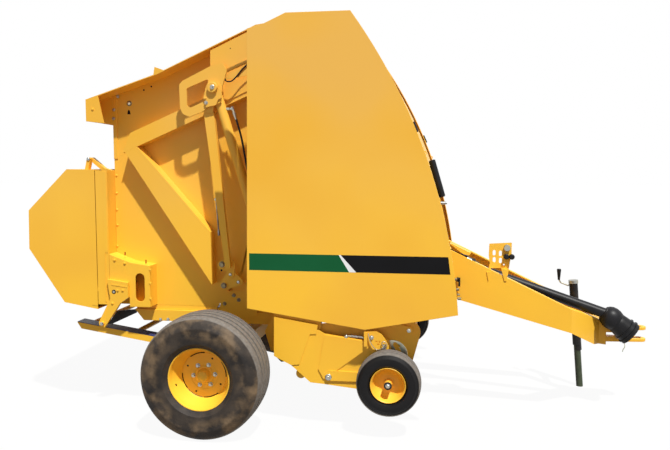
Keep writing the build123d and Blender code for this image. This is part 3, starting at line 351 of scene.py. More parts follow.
# %% Metals
def metal(name, colour, other, roughness, size):
    """Bare or plated steel: two close tones in small patches."""
    finish, tree, shader = new_finish(name, Roughness=roughness, Metallic=1.0)
    two_tones(tree, shader, size, colour, other)
    return finish


# Zinc-plated bolts: light grey with a soft sheen
zinc_plate = metal("zinc_plate", "#A4A8A9", "#B4B09E", 0.36, 30)
# The same plating after some years of weather: brown and nearly matt
brown_zinc = metal("weathered_zinc", "#8A7E62", "#6E6450", 0.5, 20)
# Passivated zinc: pale gold that turns greenish in patches
chromate_zinc = metal("yellow_chromate_zinc", "#D9D2BC", "#BFC6B4", 0.3, 70)
# Ground and chromed rods: bright, with sharp reflections
chromed_rod = metal("chromed_rod", "#DADCDE", "#E4E6E8", 0.12, 100)
# Steel rubbed bare by the crop: darker grey, scratched dull
worn_steel = metal("worn_steel", "#8C8C8E", "#6F6A64", 0.5, 40)
metals = (zinc_plate, brown_zinc, chromate_zinc, chromed_rod, worn_steel)
print("metals", [finish.name for finish in metals])

# %% [markdown]
# ## Tyre rubber
# The implement tyres are carbon-black rubber. Their tread is scuffed grey and their walls carry tan dust in
# blotches, mostly in the outer half. A painted image could hold that, but it would need an unwrapped mesh.
# Distance from the hub is known at every point, so it mixes wall, dust and tread here.

# %% Tyre rubber
DUST_RAMP = 50  # the dust comes in over this many millimetres of the wall
TREAD_RAMP = 4
BLOTCH = 100  # tan dust lies in blotches about as wide as a hand
DUST_PATCH = 90  # the thin grey film comes in patches of this size
SCUFF = 20  # scuffs of the tread
RUBBER_GRAIN = 12  # the real skin is finer, and wouldn't show in the render


def tyre_rubber(name, centre, wall_radius, tread_radius, clean, grey, dust):
    """Dusty tyre rubber round this hub centre. The radii are where the dust and the tread start."""
    finish, tree, shader = new_finish(name, Roughness=0.6, IOR=1.5, Specular_IOR_Level=0.2)
    place = add_node(tree, "ShaderNodeTexCoord")
    offset = add_node(tree, "ShaderNodeVectorMath", {"operation": "SUBTRACT", 1: centre},
                      {0: place.outputs["Object"]})
    flat = add_node(tree, "ShaderNodeVectorMath", {"operation": "MULTIPLY", 1: (1, 0, 1)},
                    {0: offset.outputs[0]})
    reach = add_node(tree, "ShaderNodeVectorMath", {"operation": "LENGTH"}, {0: flat.outputs[0]})
    outer, tread = (
        add_node(tree, "ShaderNodeMapRange", {1: start * MM, 2: end * MM}, {0: reach.outputs["Value"]})
        for start, end in ((wall_radius, wall_radius + DUST_RAMP), (tread_radius - TREAD_RAMP, tread_radius))
    )
    blotch = mottle(tree, BLOTCH, 6.0, 0.45, 0.8)
    patches = add_node(tree, "ShaderNodeMath", {"operation": "MULTIPLY"}, {0: blotch, 1: outer.outputs[0]})
    film = add_node(tree, "ShaderNodeMix", {"data_type": "RGBA", FIRST: linear(clean), SECOND: linear(grey)},
                    {0: mottle(tree, DUST_PATCH, 3.0, 0.35, 0.75)})
    wall = add_node(tree, "ShaderNodeMix", {"data_type": "RGBA", SECOND: linear(dust)},
                    {0: patches.outputs[0], FIRST: film.outputs[MIXED]})
    scuffed = add_node(tree, "ShaderNodeMix",
                       {"data_type": "RGBA", FIRST: linear("#7C7772"), SECOND: linear("#69635C")},
                       {0: mottle(tree, SCUFF, 4.0, 0.3, 0.7)})
    rubber = add_node(tree, "ShaderNodeMix", {"data_type": "RGBA"},
                      {0: tread.outputs[0], FIRST: wall.outputs[MIXED], SECOND: scuffed.outputs[MIXED]})
    tree.links.new(rubber.outputs[MIXED], shader.inputs["Base Color"])
    roughen(tree, shader, 1.5, RUBBER_GRAIN, 4.0)
    return finish


# %% [markdown]
# ## Dressing the CAD nodes
# Every node gets the finish of the real part. Its sharp edges are rounded a little, as a press brake or a
# grinder leaves them, so that they catch the light. Modelling each fillet in CAD would cost many faces. A
# weld and a bevel modifier do it here without a change to the mesh.

# %% Finishes for the CAD nodes
FINISHES = {
    "front_belts": belt_rubber, "gate_belts": belt_rubber, "frame_rollers": black_enamel,
    "gate_rollers": black_enamel, "driveline": black_polyethylene, "jack_tube": black_enamel,
    "jack_leg": jack_enamel, "jack_crank": zinc_plate, "pickup_reel": worn_steel,
    "ram_rod_right": chromed_rod, "ram_rod_left": chromed_rod, "canister": black_polyethylene,
    "drive_chain": worn_steel, "drive_shafts": black_enamel, "reel_covers": chromate_zinc,
}
EDGE = 1.5
WELD = 0.02
SHARP = 30  # edges that turn by more than this many degrees are rounded


def soften(piece, width=EDGE):
    """Round a piece's sharp edges a little, and let its large faces lead the shading, so they look flat."""
    for face in piece.data.polygons:
        face.use_smooth = True
    weld = piece.modifiers.new("weld", "WELD")
    weld.merge_threshold = WELD * MM
    edge = piece.modifiers.new("edge", "BEVEL")
    edge.width = width * MM
    edge.segments = 2
    edge.limit_method = "ANGLE"
    edge.angle_limit = math.radians(SHARP)
    flat = piece.modifiers.new("flat", "WEIGHTED_NORMAL")
    flat.mode = "FACE_AREA"
    flat.weight = 100


for name, node in nodes.items():
    node.data.materials.clear()
    node.data.materials.append(FINISHES.get(name, yellow_enamel))
    soften(node)
print("finishes on", len(nodes), "nodes")


# %% [markdown]
# ## Keeping a new piece
# Each new mesh or curve becomes an object that rides on the CAD body that carries it. Those on the pickup
# are noted down for the light step at the end.

# %% Keep a piece
sunlit = []
SHADED = ("pickup_end_trim",)


def keep(name, data, finish, body):
    """A finished mesh or curve as a piece that rides on a body."""
    piece = bpy.data.objects.new(name, data)
    bpy.context.scene.collection.objects.link(piece)
    data.materials.append(finish)
    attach(piece, body)
    if body.startswith(("pickup", "gauge")) and name not in SHADED:
        sunlit.append(piece)
    return piece


def from_bmesh(name, work, finish, body, smooth=True, angle=35):
    """Close a bmesh into a piece, smooth up to this angle between faces."""
    bmesh.ops.recalc_face_normals(work, faces=work.faces)
    mesh = bpy.data.meshes.new(name)
    work.to_mesh(mesh)
    work.free()
    if smooth:
        mesh.polygons.foreach_set("use_smooth", [True] * len(mesh.polygons))
        mesh.set_sharp_from_angle(angle=math.radians(angle))
    return keep(name, mesh, finish, body)


# %% [markdown]
# ## Lathe
# Tyres, rims, bolts and pins are round, and the real ones are turned or moulded round an axis. Blender's
# screw modifier could turn a profile too, but then each would be an object of its own. This function turns
# a profile straight into a bmesh, so that hundreds of small things can share one mesh.

# %% Turned shapes
def turn(work, profile, centre, axis, steps):
    """Turn (radius, along) millimetres about an axis: a closed ring, or a solid from pole to pole."""
    axis = Vector(axis).normalized()
    across = axis.orthogonal().normalized()
    up = axis.cross(across)
    ring = profile[0][0] > 0
    pole = {i: work.verts.new(centre + axis * (out * MM)) for i, (r, out) in enumerate(profile) if r == 0}
    rounds = []
    for step in range(steps):
        angle = 2 * math.pi * step / steps
        spoke = across * math.cos(angle) + up * math.sin(angle)
        rounds.append([
            pole[i] if i in pole else work.verts.new(centre + (spoke * r + axis * out) * MM)
            for i, (r, out) in enumerate(profile)
        ])
    for this, after in zip(rounds, rounds[1:] + rounds[:1]):
        for i in range(len(profile) if ring else len(profile) - 1):
            j = (i + 1) % len(profile)
            corners = [this[i], this[j]]
            corners += [vert for vert in (after[j], after[i]) if vert not in corners]
            work.faces.new(corners)


def rod(work, radius, low, high, start, axis, steps=20):
    """A plain round bar or disc, from low to high along an axis."""
    turn(work, [(0, low), (radius, low), (radius, high), (0, high)], start, axis, steps)


# %% [markdown]
# ## Plate
# Most of a baler is plate, cut from an outline and folded. A side outline is filled with triangles and
# lifted to the plate's thickness. Further loops in the outline become its holes. Corners that were cut
# round come from a small curve at each point, so the lists of points stay short.

# %% Cut plate
def panel(work, loops, inner, outer, side=-1):
    """A plate between two faces, cut from side outlines: first its edge, then its holes."""
    edges = []
    for loop in loops:
        ring = [work.verts.new(at(x, side * inner, z)) for x, z in loop]
        edges += [work.edges.new(pair) for pair in zip(ring, ring[1:] + ring[:1])]
    filled = bmesh.ops.triangle_fill(work, use_beauty=True, edges=edges)["geom"]
    faces = [item for item in filled if isinstance(item, bmesh.types.BMFace)]
    lifted = bmesh.ops.extrude_face_region(work, geom=faces)["geom"]
    verts = [item for item in lifted if isinstance(item, bmesh.types.BMVert)]
    bmesh.ops.translate(work, vec=Vector((0, side * (outer - inner) * MM, 0)), verts=verts)


def rounded(outline, radius, steps=5):
    """An outline whose corners are arcs of about this radius, or a smaller one on short sides."""
    points = []
    corners = [Vector(p) for p in outline]
    for before, corner, after in zip(corners[-1:] + corners[:-1], corners, corners[1:] + corners[:1]):
        back, ahead = before - corner, after - corner
        half = back.angle(ahead) / 2
        run = min(radius / math.tan(half), 0.48 * back.length, 0.48 * ahead.length)
        start, end = corner + back.normalized() * run, corner + ahead.normalized() * run
        for step in range(steps + 1):
            t = step / steps
            points.append(tuple((1 - t) ** 2 * start + 2 * t * (1 - t) * corner + t ** 2 * end))
    return points


def around(*circles, steps=32):
    """The outline of a strap laid round circles of (x, z, radius)."""
    turns = [2 * math.pi * i / steps for i in range(steps)]
    points = [(x + r * math.cos(a), z + r * math.sin(a)) for x, z, r in circles for a in turns]
    return [points[i] for i in convex_hull_2d(points)]


# %% [markdown]
# ## Hose and wire
# A hose keeps its thickness and bends smoothly. A NURBS curve of a few points with a round bevel does both.
# Its order is set after its points, because a curve with no points can't take it.

# %% Hose and wire
def tube(name, y, route, radius, finish, body):
    """A hose or wire through (x, z) points, this far to the left of the middle."""
    curve = bpy.data.curves.new(name, "CURVE")
    curve.dimensions = "3D"
    curve.bevel_depth = radius * MM
    curve.bevel_resolution = 3
    curve.use_fill_caps = True
    spline = curve.splines.new("NURBS")
    spline.points.add(len(route) - 1)
    for point, (x, z) in zip(spline.points, route):
        point.co = (*at(x, y, z), 1)
    spline.order_u = 3
    spline.use_endpoint_u = True
    return keep(name, curve, finish, body)


# %% [markdown]
# ## Kits of small pieces
# A machine has hundreds of fasteners, and an object for each would be slow to handle. Small things of one
# finish on one body are joined in one mesh instead. Each such kit is a bmesh that the steps below fill, and
# one loop at the end closes them all.

# %% Kits, bolts and domes
kits = {}
WASHER = 2.5


def kit(body, finish):
    """The bmesh that gathers a body's small pieces of one finish."""
    key = (body, finish.name)
    if key not in kits:
        kits[key] = bmesh.new()
    return kits[key]


def bolt(work, x, z, face, across, high, side):
    """A hexagon head on its washer, standing out from a face this far from the middle."""
    centre = at(x, side * face, z)
    r = across / math.sqrt(3)
    rod(work, r + 3, 0, WASHER, centre, (0, side, 0))
    turn(work, [(0, 2), (r, 2), (r, high - 2), (r - 2, high), (0, high)], centre, (0, side, 0), 6)


def dome(work, x, z, face, radius, high, side):
    """A round head with a domed top."""
    arc = [(radius * math.cos(a), high * 0.4 + high * 0.6 * math.sin(a)) for a in (0.0, 0.4, 0.8, 1.2)]
    turn(work, [(0, 0), (radius, 0), *arc, (0, high)], at(x, side * face, z), (0, side, 0), 24)


def mark(work, x, z, face, radius, side, high=0.6, steps=24):
    """A thin disc set on a face, which reads as a hole where it is black."""
    rod(work, radius, 0, high, at(x, side * face, z), (0, side, 0), steps)


# %% [markdown]
# ## Main tyres
# The real tyres are ribbed implement tyres: five ribs run round the tread with grooves about 18 mm wide,
# and the walls bulge from the bead, carry a few moulded rings and round off into the outer rib. The ribs
# have no blocks across them, so one closed profile turned about the axle gives all of it.

# %% Main tyres
TYRE_R = 394
TYRE_HALF = 171.5
RIM_R = 196
TREAD_HALF = 118
CROWN = 6
GROOVES = (-84, -30, 30, 84)
GROOVE_W = 18
GROOVE_DEEP = 14


def tyre_profile(radius, half, rim, tread, grooves, width, depth, crown):
    """A closed tyre section, (radius, outward), from one bead over the tread to the other."""
    wall = radius - rim
    # How far up the wall each point lies, and how far in from the tyre's full width
    rings = ((0.10, 16), (0.14, 9), (0.16, 5), (0.30, 1.5), (0.45, 0), (0.58, 2), (0.60, 1), (0.66, 3),
             (0.68, 6), (0.80, 15), (0.90, 29))
    side = [(rim - 6, half - 38), (rim + 4, half - 30)]
    side += [(rim + share * wall, half - inset) for share, inset in rings]
    side += [(radius - crown - 6, tread + 8), (radius - crown - 1, tread)]
    top = []
    for groove in sorted(grooves, reverse=True):
        for place, deep in ((groove + width / 2, 0), (groove + width / 2 - 2, depth),
                            (groove - width / 2 + 2, depth), (groove - width / 2, 0)):
            top.append((radius - crown * (place / tread) ** 2 - deep, place))
    return side + top + [(r, -out) for r, out in reversed(side)]


def ribbed_tyre(cad_name, body, profile, side, steps, rubber_name, *looks):
    """A tyre turned about the middle of its CAD node, which it replaces. The looks are tyre_rubber's."""
    low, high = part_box(cad_name)
    hub = (low + high) / 2
    work = bmesh.new()
    turn(work, profile, hub, (0, side, 0), steps)
    tyre = from_bmesh(f"ribbed_{cad_name}", work, tyre_rubber(rubber_name, hub, *looks), body)
    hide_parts(cad_name)
    print(tyre.name, "width", round(high.y - low.y, 4), "radius", round((high.z - low.z) / 2, 4))


section = tyre_profile(TYRE_R, TYRE_HALF, RIM_R, TREAD_HALF, GROOVES, GROOVE_W, GROOVE_DEEP, CROWN)
for side_name, side in SIDES:
    ribbed_tyre(f"tyre_{side_name}", f"wheel_{side_name}", section, side, 128,
                f"tyre_rubber_{side_name}", 240, 378, "#242120", "#463E37", "#8C765C")

# %% [markdown]
# ## Gauge tyres
# The pickup's small tyres are of the same kind, with three narrow grooves. Their walls are given darker,
# nearly black tones with little dust, so only the sizes and the tones change.

# %% Gauge tyres
GAUGE_R = 203
GAUGE_HALF = 82.5
GAUGE_RIM_R = 110

section = tyre_profile(GAUGE_R, GAUGE_HALF, GAUGE_RIM_R, tread=56, grooves=(-28, 0, 28), width=9,
                       depth=7, crown=4)
for side_name, side in SIDES:
    ribbed_tyre(f"gauge_tyre_{side_name}", f"gauge_wheel_{side_name}", section, side, 96,
                f"gauge_rubber_{side_name}", 160, 192, "#0D0C0D", "#131213", "#1A1817")

# %% [markdown]
# ## Sections of the wheel
# The rim is rolled from one strip: a lip that holds the bead, a deep bowl and a drop centre. The disc is
# pressed, with a domed hub cap in its middle. Each is one closed section in millimetres, the radius first
# and then how far out it stands, because a turned part is known by its section alone.

# %% Sections of the main rim and disc
WHEEL_OUT = 1200
WHEEL_MIDDLE = WHEEL_OUT - TYRE_HALF
DISC_FACE = WHEEL_OUT - 138
DISC_R = 147
RIM = [
    (199, 139), (197, 142), (192, 141), (189, 136), (187, 122), (181, 106), (172, 88), (163, 68), (155, 50),
    (150, 38), (DISC_R - 1, 33), (DISC_R - 1, 28), (164, 20), (164, -60), (181, -80), (184, -130),
    (190, -141), (197, -142), (199, -139), (191, -132), (190, -84), (172, -62), (172, 60), (190, 84),
    (191, 132),
]
DISC = [
    (0, 48), (12, 47), (27, 43), (38, 32), (42, 14), (44, 5), (48, 6), (56, 4), (62, -2), (88, -2), (90, 0),
    (DISC_R - 4, 0), (DISC_R, -3), (DISC_R, -12), (40, -12), (38, 0), (34, 28), (31, 42), (0, 43),
]
print("rim and disc sections have", len(RIM), "and", len(DISC), "points")

# %% [markdown]
# ## Rims and discs
# The disc is welded in at the bowl's foot with four long gaps round its edge, and carries six nuts and four
# small holes. The two sections are turned about the axle. The gaps and holes could be cut with booleans, but
# the dark behind them is all that shows, so each is a thin black plate on the disc's face.

# %% Main rims and discs
NUTS = [(71, math.radians(5 + 60 * i)) for i in range(6)]  # radius of their circle, angle
HOLES = [(120, math.radians(63 + 90 * i)) for i in range(4)]
GAPS = [(90 * i - 2, 90 * i + 38) for i in range(4)]  # degrees from the front
VALVE = (-172, TYRE_R - 58)


def arc_strip(radius, width, start, end, steps=14):
    """The outline of a strap bent round the wheel's middle, from one angle to another in degrees."""
    angles = [math.radians(start + (end - start) * i / steps) for i in range(steps + 1)]
    inner = [(radius * math.cos(a), TYRE_R + radius * math.sin(a)) for a in angles]
    radius += width
    return inner + [(radius * math.cos(a), TYRE_R + radius * math.sin(a)) for a in reversed(angles)]


for side_name, side in SIDES:
    body = f"wheel_{side_name}"
    outward = (0, side, 0)
    work = bmesh.new()
    turn(work, RIM, at(0, side * WHEEL_MIDDLE, TYRE_R), outward, 128)
    rim = from_bmesh(f"rolled_rim_{side_name}", work, yellow_enamel, body)
    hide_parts(f"rim_{side_name}")
    work = bmesh.new()
    turn(work, DISC, at(0, side * DISC_FACE, TYRE_R), outward, 96)
    from_bmesh(f"wheel_disc_{side_name}", work, yellow_enamel, body)
    zinc, dark = kit(body, zinc_plate), kit(body, pitch_black)
    for reach, angle in NUTS:
        bolt(zinc, reach * math.cos(angle), TYRE_R + reach * math.sin(angle), DISC_FACE - 2, 19, 16, side)
    for reach, angle in HOLES:
        mark(dark, reach * math.cos(angle), TYRE_R + reach * math.sin(angle), DISC_FACE, 6, side, steps=20)
    for start, end in GAPS:
        panel(dark, [arc_strip(DISC_R - 7, 6, start, end)], DISC_FACE, DISC_FACE + 0.6, side)
    panel(kit(body, worn_steel), [arc_strip(DISC_R - 6, 3, 218, 264)], DISC_FACE, DISC_FACE + 0.5, side)
    valve = at(VALVE[0], side * (WHEEL_MIDDLE + 86), VALVE[1])
    rod(dark, 11, 0, 9, valve, outward)
    turn(zinc, [(0, 9), (5, 9), (4, 13), (0, 14)], valve, outward, 16)
print("nuts a wheel", len(NUTS))

# %% [markdown]
# ## Gauge wheels
# These are pressed from two dishes with the hub between them. The dishes could be turned one by one, but
# nothing shows between them, so rim, disc and hub are one profile. A grease cap and a nut close the spindle.

# %% Gauge rims
GAUGE_AT = (1150, 355)
GAUGE_MIDDLE = 1000 - GAUGE_HALF
GAUGE_CAP = GAUGE_MIDDLE + 68
GAUGE_RIM = [
    (0, 68), (19, 68), (24, 63), (25, 2), (34, -4), (60, -4), (84, 12), (97, 40), (102, 62), (105, 66),
    (109, 68), (111, 66), (109, 58), (104, 36), (98, 10), (98, -30), (104, -56), (110, -62), (106, -67),
    (100, -62), (94, -30), (80, -12), (30, -14), (28, -60), (21, -60), (21, 60), (0, 60),
]

for side_name, side in SIDES:
    body = f"gauge_wheel_{side_name}"
    work = bmesh.new()
    turn(work, GAUGE_RIM, at(GAUGE_AT[0], side * GAUGE_MIDDLE, GAUGE_AT[1]), (0, side, 0), 96)
    rim = from_bmesh(f"pressed_gauge_rim_{side_name}", work, yellow_enamel, body)
    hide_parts(f"gauge_rim_{side_name}")
    dome(kit(body, black_enamel), *GAUGE_AT, GAUGE_CAP, 25, 2, side)
    bolt(kit(body, zinc_plate), *GAUGE_AT, GAUGE_CAP + 0.5, 20, 10, side)
print("gauge rims", 2 * GAUGE_RIM_R, "mm across")


# %% [markdown]
# ## The coloured band
# A strip of vinyl film runs along each shield: green behind, black ahead, with a slanting white sliver
# between them. The colours could be painted by a mask in the enamel, but film has an edge and its own gloss,
# so each colour is a thin plate 0.4 mm thick on the shield.

# %% Vinyl film on the shields
def film(name, colour, other):
    """Glossy vinyl film, which follows the waves of the sheet under it."""
    finish, tree, shader = new_finish(name, Roughness=0.3, IOR=1.46, Specular_IOR_Level=0.15)
    two_tones(tree, shader, 300, colour, other)
    roughen(tree, shader, 4, SHEET_WAVE)
    return finish


BAND_LOW, BAND_TOP = 1050, 1156
BAND_REAR = 267
FILM_IN = 950.1  # the shield's face, and a hair for the glue
FILM_T = 0.4
BAND = (
    ("green", film("green_film", "#0C5730", "#0E5A33"), (BAND_REAR, 904, 838, BAND_REAR)),
    ("white", film("white_film", "#EEF1F4", "#E8ECF0"), (904, 948, 851, 838)),
    ("black", film("black_film", "#08080A", "#0B0B0E"), (948, 1521, 1507, 851)),
)
for side_name, side in SIDES:
    for colour, finish, ends in BAND:
        work = bmesh.new()
        outline = list(zip(ends, (BAND_LOW, BAND_LOW, BAND_TOP, BAND_TOP)))
        panel(work, [outline], FILM_IN, FILM_IN + FILM_T, side)
        from_bmesh(f"band_{colour}_{side_name}", work, finish, f"shield_{side_name}", smooth=False)
print("band", BAND_TOP - BAND_LOW, "mm high")

# %% [markdown]
# ## The tailgate's lever
# The lever that the ram pulls on is cut from 12 mm plate as a loop with round corners, and a second plate
# with a round head carries the pin. In CAD its corners are plain, so here both plates are cut again with
# arcs and replace that node, with the same pins through them.

# %% Lever, head plate and pins
GATE_FACE = 700
RAM_Y = 745
LEVER_IN = RAM_Y + 35
LEVER_OUT = LEVER_IN + 12
FOOT_FACE = LEVER_OUT + 9
PIN_END = GATE_FACE + 121
RAM_PIN = (-7, 2209)
LEVER = rounded([
    (-238, 2232), (-216, 2256), (-28, 2345), (52, 2372), (86, 2318), (54, 2215), (42, 2110), (-20, 2100),
    (-84, 2056), (-172, 2024), (-218, 2044), (-234, 2084),
], 26)
LEVER_WINDOW = rounded([(-187, 2208), (-30, 2270), (-62, 2200), (-66, 2124), (-166, 2082), (-186, 2096)], 14)
HEAD = around((RAM_PIN[0] + 2, RAM_PIN[1], 46), (-64, 2146, 8), (46, 2148, 9))
FOOT = rounded([(-72, 2150), (54, 2150), (50, 2142), (28, 2132), (14, 2097), (-54, 2084)], 6)
PIN_BLOCK = around((*RAM_PIN, 46), (-17, 2119, 40))
PIN_SHAPE = [(0, 0), (20, 0), (20, 92), (34, 92), (34, 118), (31, 121), (0, 121)]

work = bmesh.new()
for side_name, side in SIDES:
    panel(work, [LEVER, LEVER_WINDOW], LEVER_IN, LEVER_OUT, side)
    panel(work, [HEAD], LEVER_OUT, LEVER_OUT + 8, side)
    panel(work, [FOOT], LEVER_OUT, FOOT_FACE, side)
    panel(work, [PIN_BLOCK], GATE_FACE, RAM_Y - 33, side)
    turn(work, PIN_SHAPE, at(RAM_PIN[0], side * GATE_FACE, RAM_PIN[1]), (0, side, 0), 48)
lever = from_bmesh("gate_lever_plates", work, yellow_enamel, "tailgate")
soften(lever, 2)
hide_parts("gate_levers")
print("lever faces", len(lever.data.polygons))

# %% [markdown]
# ## Bolts
# Bolts are the scale of a machine like this, and a viewer reads their lack at once. Each row of this table
# is a place on the side of the machine, with the face that the head stands on. Most heads on the tailgate
# were painted with it; the others are grey zinc, or brown from weather. One bolt could be made and copied
# as an object for each place, but heads turned straight into a kit stay one piece on each body.

# %% Bolts on the tailgate and the frame
SHEET_FACE = 603      # gate sheets and side sheets
STRIP_FACE = 609      # the strip down the gate's rear edge
RAIL_FACE = 620
COVER_FACE = 626      # the plate over the lower roller's bearing
HOOK_FACE = 712
BRACKET_FACE = 720    # corner bracket, net box and the hook's pin
ARM_FACE = 745
ROOF_FACE = 760       # the roof's turned-down ends
TAILGATE_BOLTS = (
    # x, z, face, across flats
    (-753, 2182, STRIP_FACE, 14), (-785, 2092, STRIP_FACE, 15), (-789, 2032, STRIP_FACE, 15),
    (-521, 2285, SHEET_FACE, 15), (-488, 2302, SHEET_FACE, 15), (-296, 2270, SHEET_FACE, 12),
    (-753, 1062, BRACKET_FACE, 14), (-679, 1041, BRACKET_FACE, 14), (-723, 856, ARM_FACE, 12),
    (-687, 857, ARM_FACE, 12), (-764, 765, ARM_FACE, 12), (-497, 1000, BRACKET_FACE, 10),
    (-497, 907, BRACKET_FACE, 10), (-497, 800, BRACKET_FACE, 10), (-862, 2084, ROOF_FACE, 12),
    (-59, 2141, FOOT_FACE, 13), (-53, 2113, FOOT_FACE, 16), (13, 1048, BRACKET_FACE, 30),
    (50, 1041, HOOK_FACE, 17), (21, 904, HOOK_FACE, 30),
)
FRAME_BOLTS = (
    (64, 823, COVER_FACE, 18), (98, 792, COVER_FACE, 18), (-3, 763, COVER_FACE, 18),
    (-471, 637, RAIL_FACE, 12), (-416, 639, RAIL_FACE, 14), (560, 2480, SHEET_FACE, 15),
    (700, 1900, SHEET_FACE, 15), (700, 1500, SHEET_FACE, 15),
)
GREY = {(-53, 2113), (50, 1041), (-753, 2182), (-785, 2092), (-789, 2032), (-521, 2285), (-488, 2302)}
BROWN = {(13, 1048), (21, 904), (64, 823), (98, 792), (-3, 763)}

for side_name, side in SIDES:
    for body, table in (("tailgate", TAILGATE_BOLTS), ("root", FRAME_BOLTS)):
        for x, z, face, across in table:
            finish = zinc_plate if (x, z) in GREY or body == "root" else yellow_enamel
            finish = brown_zinc if (x, z) in BROWN else finish
            bolt(kit(body, finish), x, z, face, across, 0.5 * across, side)
print("bolts a side", len(TAILGATE_BOLTS) + len(FRAME_BOLTS))

# %% [markdown]
# ## Screw heads, holes and shade of the tailgate
# Domed screws hold the gate's rear strip, and grease fittings stand on the pins. The holes are drilled
# through the sheet, behind which it is dark, so each is a thin black disc. Two thin black rods are painted
# shade in the gap between the gate sheet and the bracket.

# %% Domed heads, holes and keyhole
STRIP_SCREWS = ((-781, 1639), (-783, 1516), (-784, 1400), (-782, 1293), (-786, 1145))
HOOK_SCREWS = ((68, 980), (123, 930))
GATE_HOLES = ((-511, 2246, 6, SHEET_FACE), (-566, 2223, 6, SHEET_FACE), (6, 1007, 7, HOOK_FACE),
              (-752, 845, 15, ARM_FACE))
KEYHOLE = rounded([(-690, 2060), (-665, 2060), (-671, 2083), (-678, 2093), (-685, 2083)], 3)
GAP_SHADE_RODS = ((-702, 1088), (-550, 1036))

for side_name, side in SIDES:
    zinc = kit("tailgate", zinc_plate)
    dome(kit("tailgate", brown_zinc), -673, 2134, SHEET_FACE, 18, 7, side)
    dome(kit("tailgate", chromate_zinc), -673, 2134, SHEET_FACE + 6, 11, 8, side)
    dome(zinc, -4, 2210, PIN_END, 15, 5, side)
    bolt(zinc, -4, 2210, PIN_END + 3, 16, 8, side)
    for x, z in HOOK_SCREWS:
        dome(zinc, x, z, HOOK_FACE, 11, 9, side)
    for x, z in STRIP_SCREWS:
        dome(kit("tailgate", yellow_enamel), x, z, SHEET_FACE, 8, 5, side)
    bolt(zinc, -850, 619, 740, 17, 9, side)
    black = kit("tailgate", pitch_black)
    for x, z, r, face in GATE_HOLES:
        mark(black, x, z, face, r, side)
    panel(black, [KEYHOLE], SHEET_FACE, SHEET_FACE + 0.6, side)
    # Painted shade: thin black rods in the hole-shadow finish, in the gap between the gate sheet and the
    # bracket.
    for x, z in GAP_SHADE_RODS:
        rod(black, 4, 0, 24, at(x, side * 665, z), (0, 0, 1), 12)
    mark(zinc, -752, 845, ARM_FACE + 0.6, 8, side, 1.5, 20)
print("screws and holes a side", len(STRIP_SCREWS) + len(HOOK_SCREWS) + len(GATE_HOLES))

# %% [markdown]
# ## Latch rod, ram hoses and pipes
# A thin rod with a ball end stands beside the latch link. A rubber hose leaves a plated elbow on the ram,
# runs down beside the barrel and ends in its lower port, and a thinner one loops up to the roof. The
# fittings are turned, and each hose is a curve through a few points read from the picture.

# %% Latch rod, elbows and hoses
BALL = [(0, -13), (7, -11), (12, -5), (13, 0), (12, 5), (7, 11), (0, 13)]
LATCH_ROD = [(0, 0), (5, 0), (5, 196), (8, 200), (8, 232), (0, 232)]
PORT = [(0, 0), (11, 0), (11, 26), (8, 28), (8, 46), (0, 46)]
FERRULE = [(0, 0), (9, 0), (9, 20), (11, 22), (11, 48), (8, 52), (8, 70), (0, 70)]
RAM_HOSE = [(130, 2010), (150, 1944), (168, 1876), (183, 1790), (200, 1690), (236, 1560), (262, 1490),
            (232, 1462)]
UPPER_HOSE = [(56, 2284), (62, 2258), (84, 2248), (112, 2252), (150, 2290), (180, 2330), (230, 2370)]
ROD_Y = 768
ROD_RUN = Vector((152, 0, 62))

lock_rods = bmesh.new()
for side_name, side in SIDES:
    turn(kit("tailgate", zinc_plate), BALL, at(-21, side * 724, 1483), (0, side, 0), 20)
    turn(kit("tailgate", worn_steel), LATCH_ROD, at(-21, side * 722, 1474), Vector((17, 0, -232)), 16)
    ram = f"ram_barrel_{side_name}"
    y = side * RAM_Y
    fitting = kit(ram, zinc_plate)
    turn(fitting, PORT, at(62, y, 2075), (1, 0, 0.02), 20)
    rod(fitting, 10, -12, 12, at(107, y, 2078), (0.28, 0, -1), 6)
    turn(fitting, FERRULE, at(109, y, 2074), (0.3, 0, -1), 20)
    tube(f"ram_hose_{side_name}", y, RAM_HOSE, 6.5, hose_rubber, ram)
    tube(f"upper_hose_{side_name}", side * 762, UPPER_HOSE, 4.5, hose_rubber, "tailgate")
    rod(lock_rods, 11, 0, 250, at(28, side * ROD_Y, 2298), ROD_RUN)
    rod(lock_rods, 16, -14, 14, at(56, side * ROD_Y, 2308), ROD_RUN, 24)
gate_rods = from_bmesh("gate_rods", lock_rods, yellow_enamel, "tailgate")
print("hose points", len(RAM_HOSE), len(UPPER_HOSE))

# %% [markdown]
# ## Gussets and sill
# Between the lever and the roof stand two gussets, one behind the other, which fill the corner that the
# shield half hides. A folded strip stiffens the gate's lower edge. All of them are plain plate.

# %% Gusset plates between the lever and the roof, and the gate's sill
GUSSET = [(-38, 2262), (-36, 2451), (190, 2552), (285, 2592), (285, 2300), (60, 2262)]
GUSSET_IN, GUSSET_OUT = 750, 755
LOWER_GUSSET = [(30, 2320), (285, 2400), (285, 2235), (171, 2182), (62, 2133), (30, 2150)]
SILL = [(-652, 706.5), (-66, 706.5), (-66, 738), (-652, 738)]

work = bmesh.new()
for side_name, side in SIDES:
    panel(work, [GUSSET], GUSSET_IN, GUSSET_OUT, side)
    mark(kit("tailgate", pitch_black), 100, 2462, GUSSET_OUT, 3.5, side, 0.5, 16)
    panel(kit("tailgate", yellow_enamel), [LOWER_GUSSET], GATE_FACE, GATE_FACE + 6, side)
    panel(kit("tailgate", yellow_enamel), [SILL], SHEET_FACE - 6, SHEET_FACE, side)
gusset = from_bmesh("gusset_plates", work, yellow_enamel, "tailgate", smooth=False)
print("gusset", GUSSET_OUT - GUSSET_IN, "mm thick")

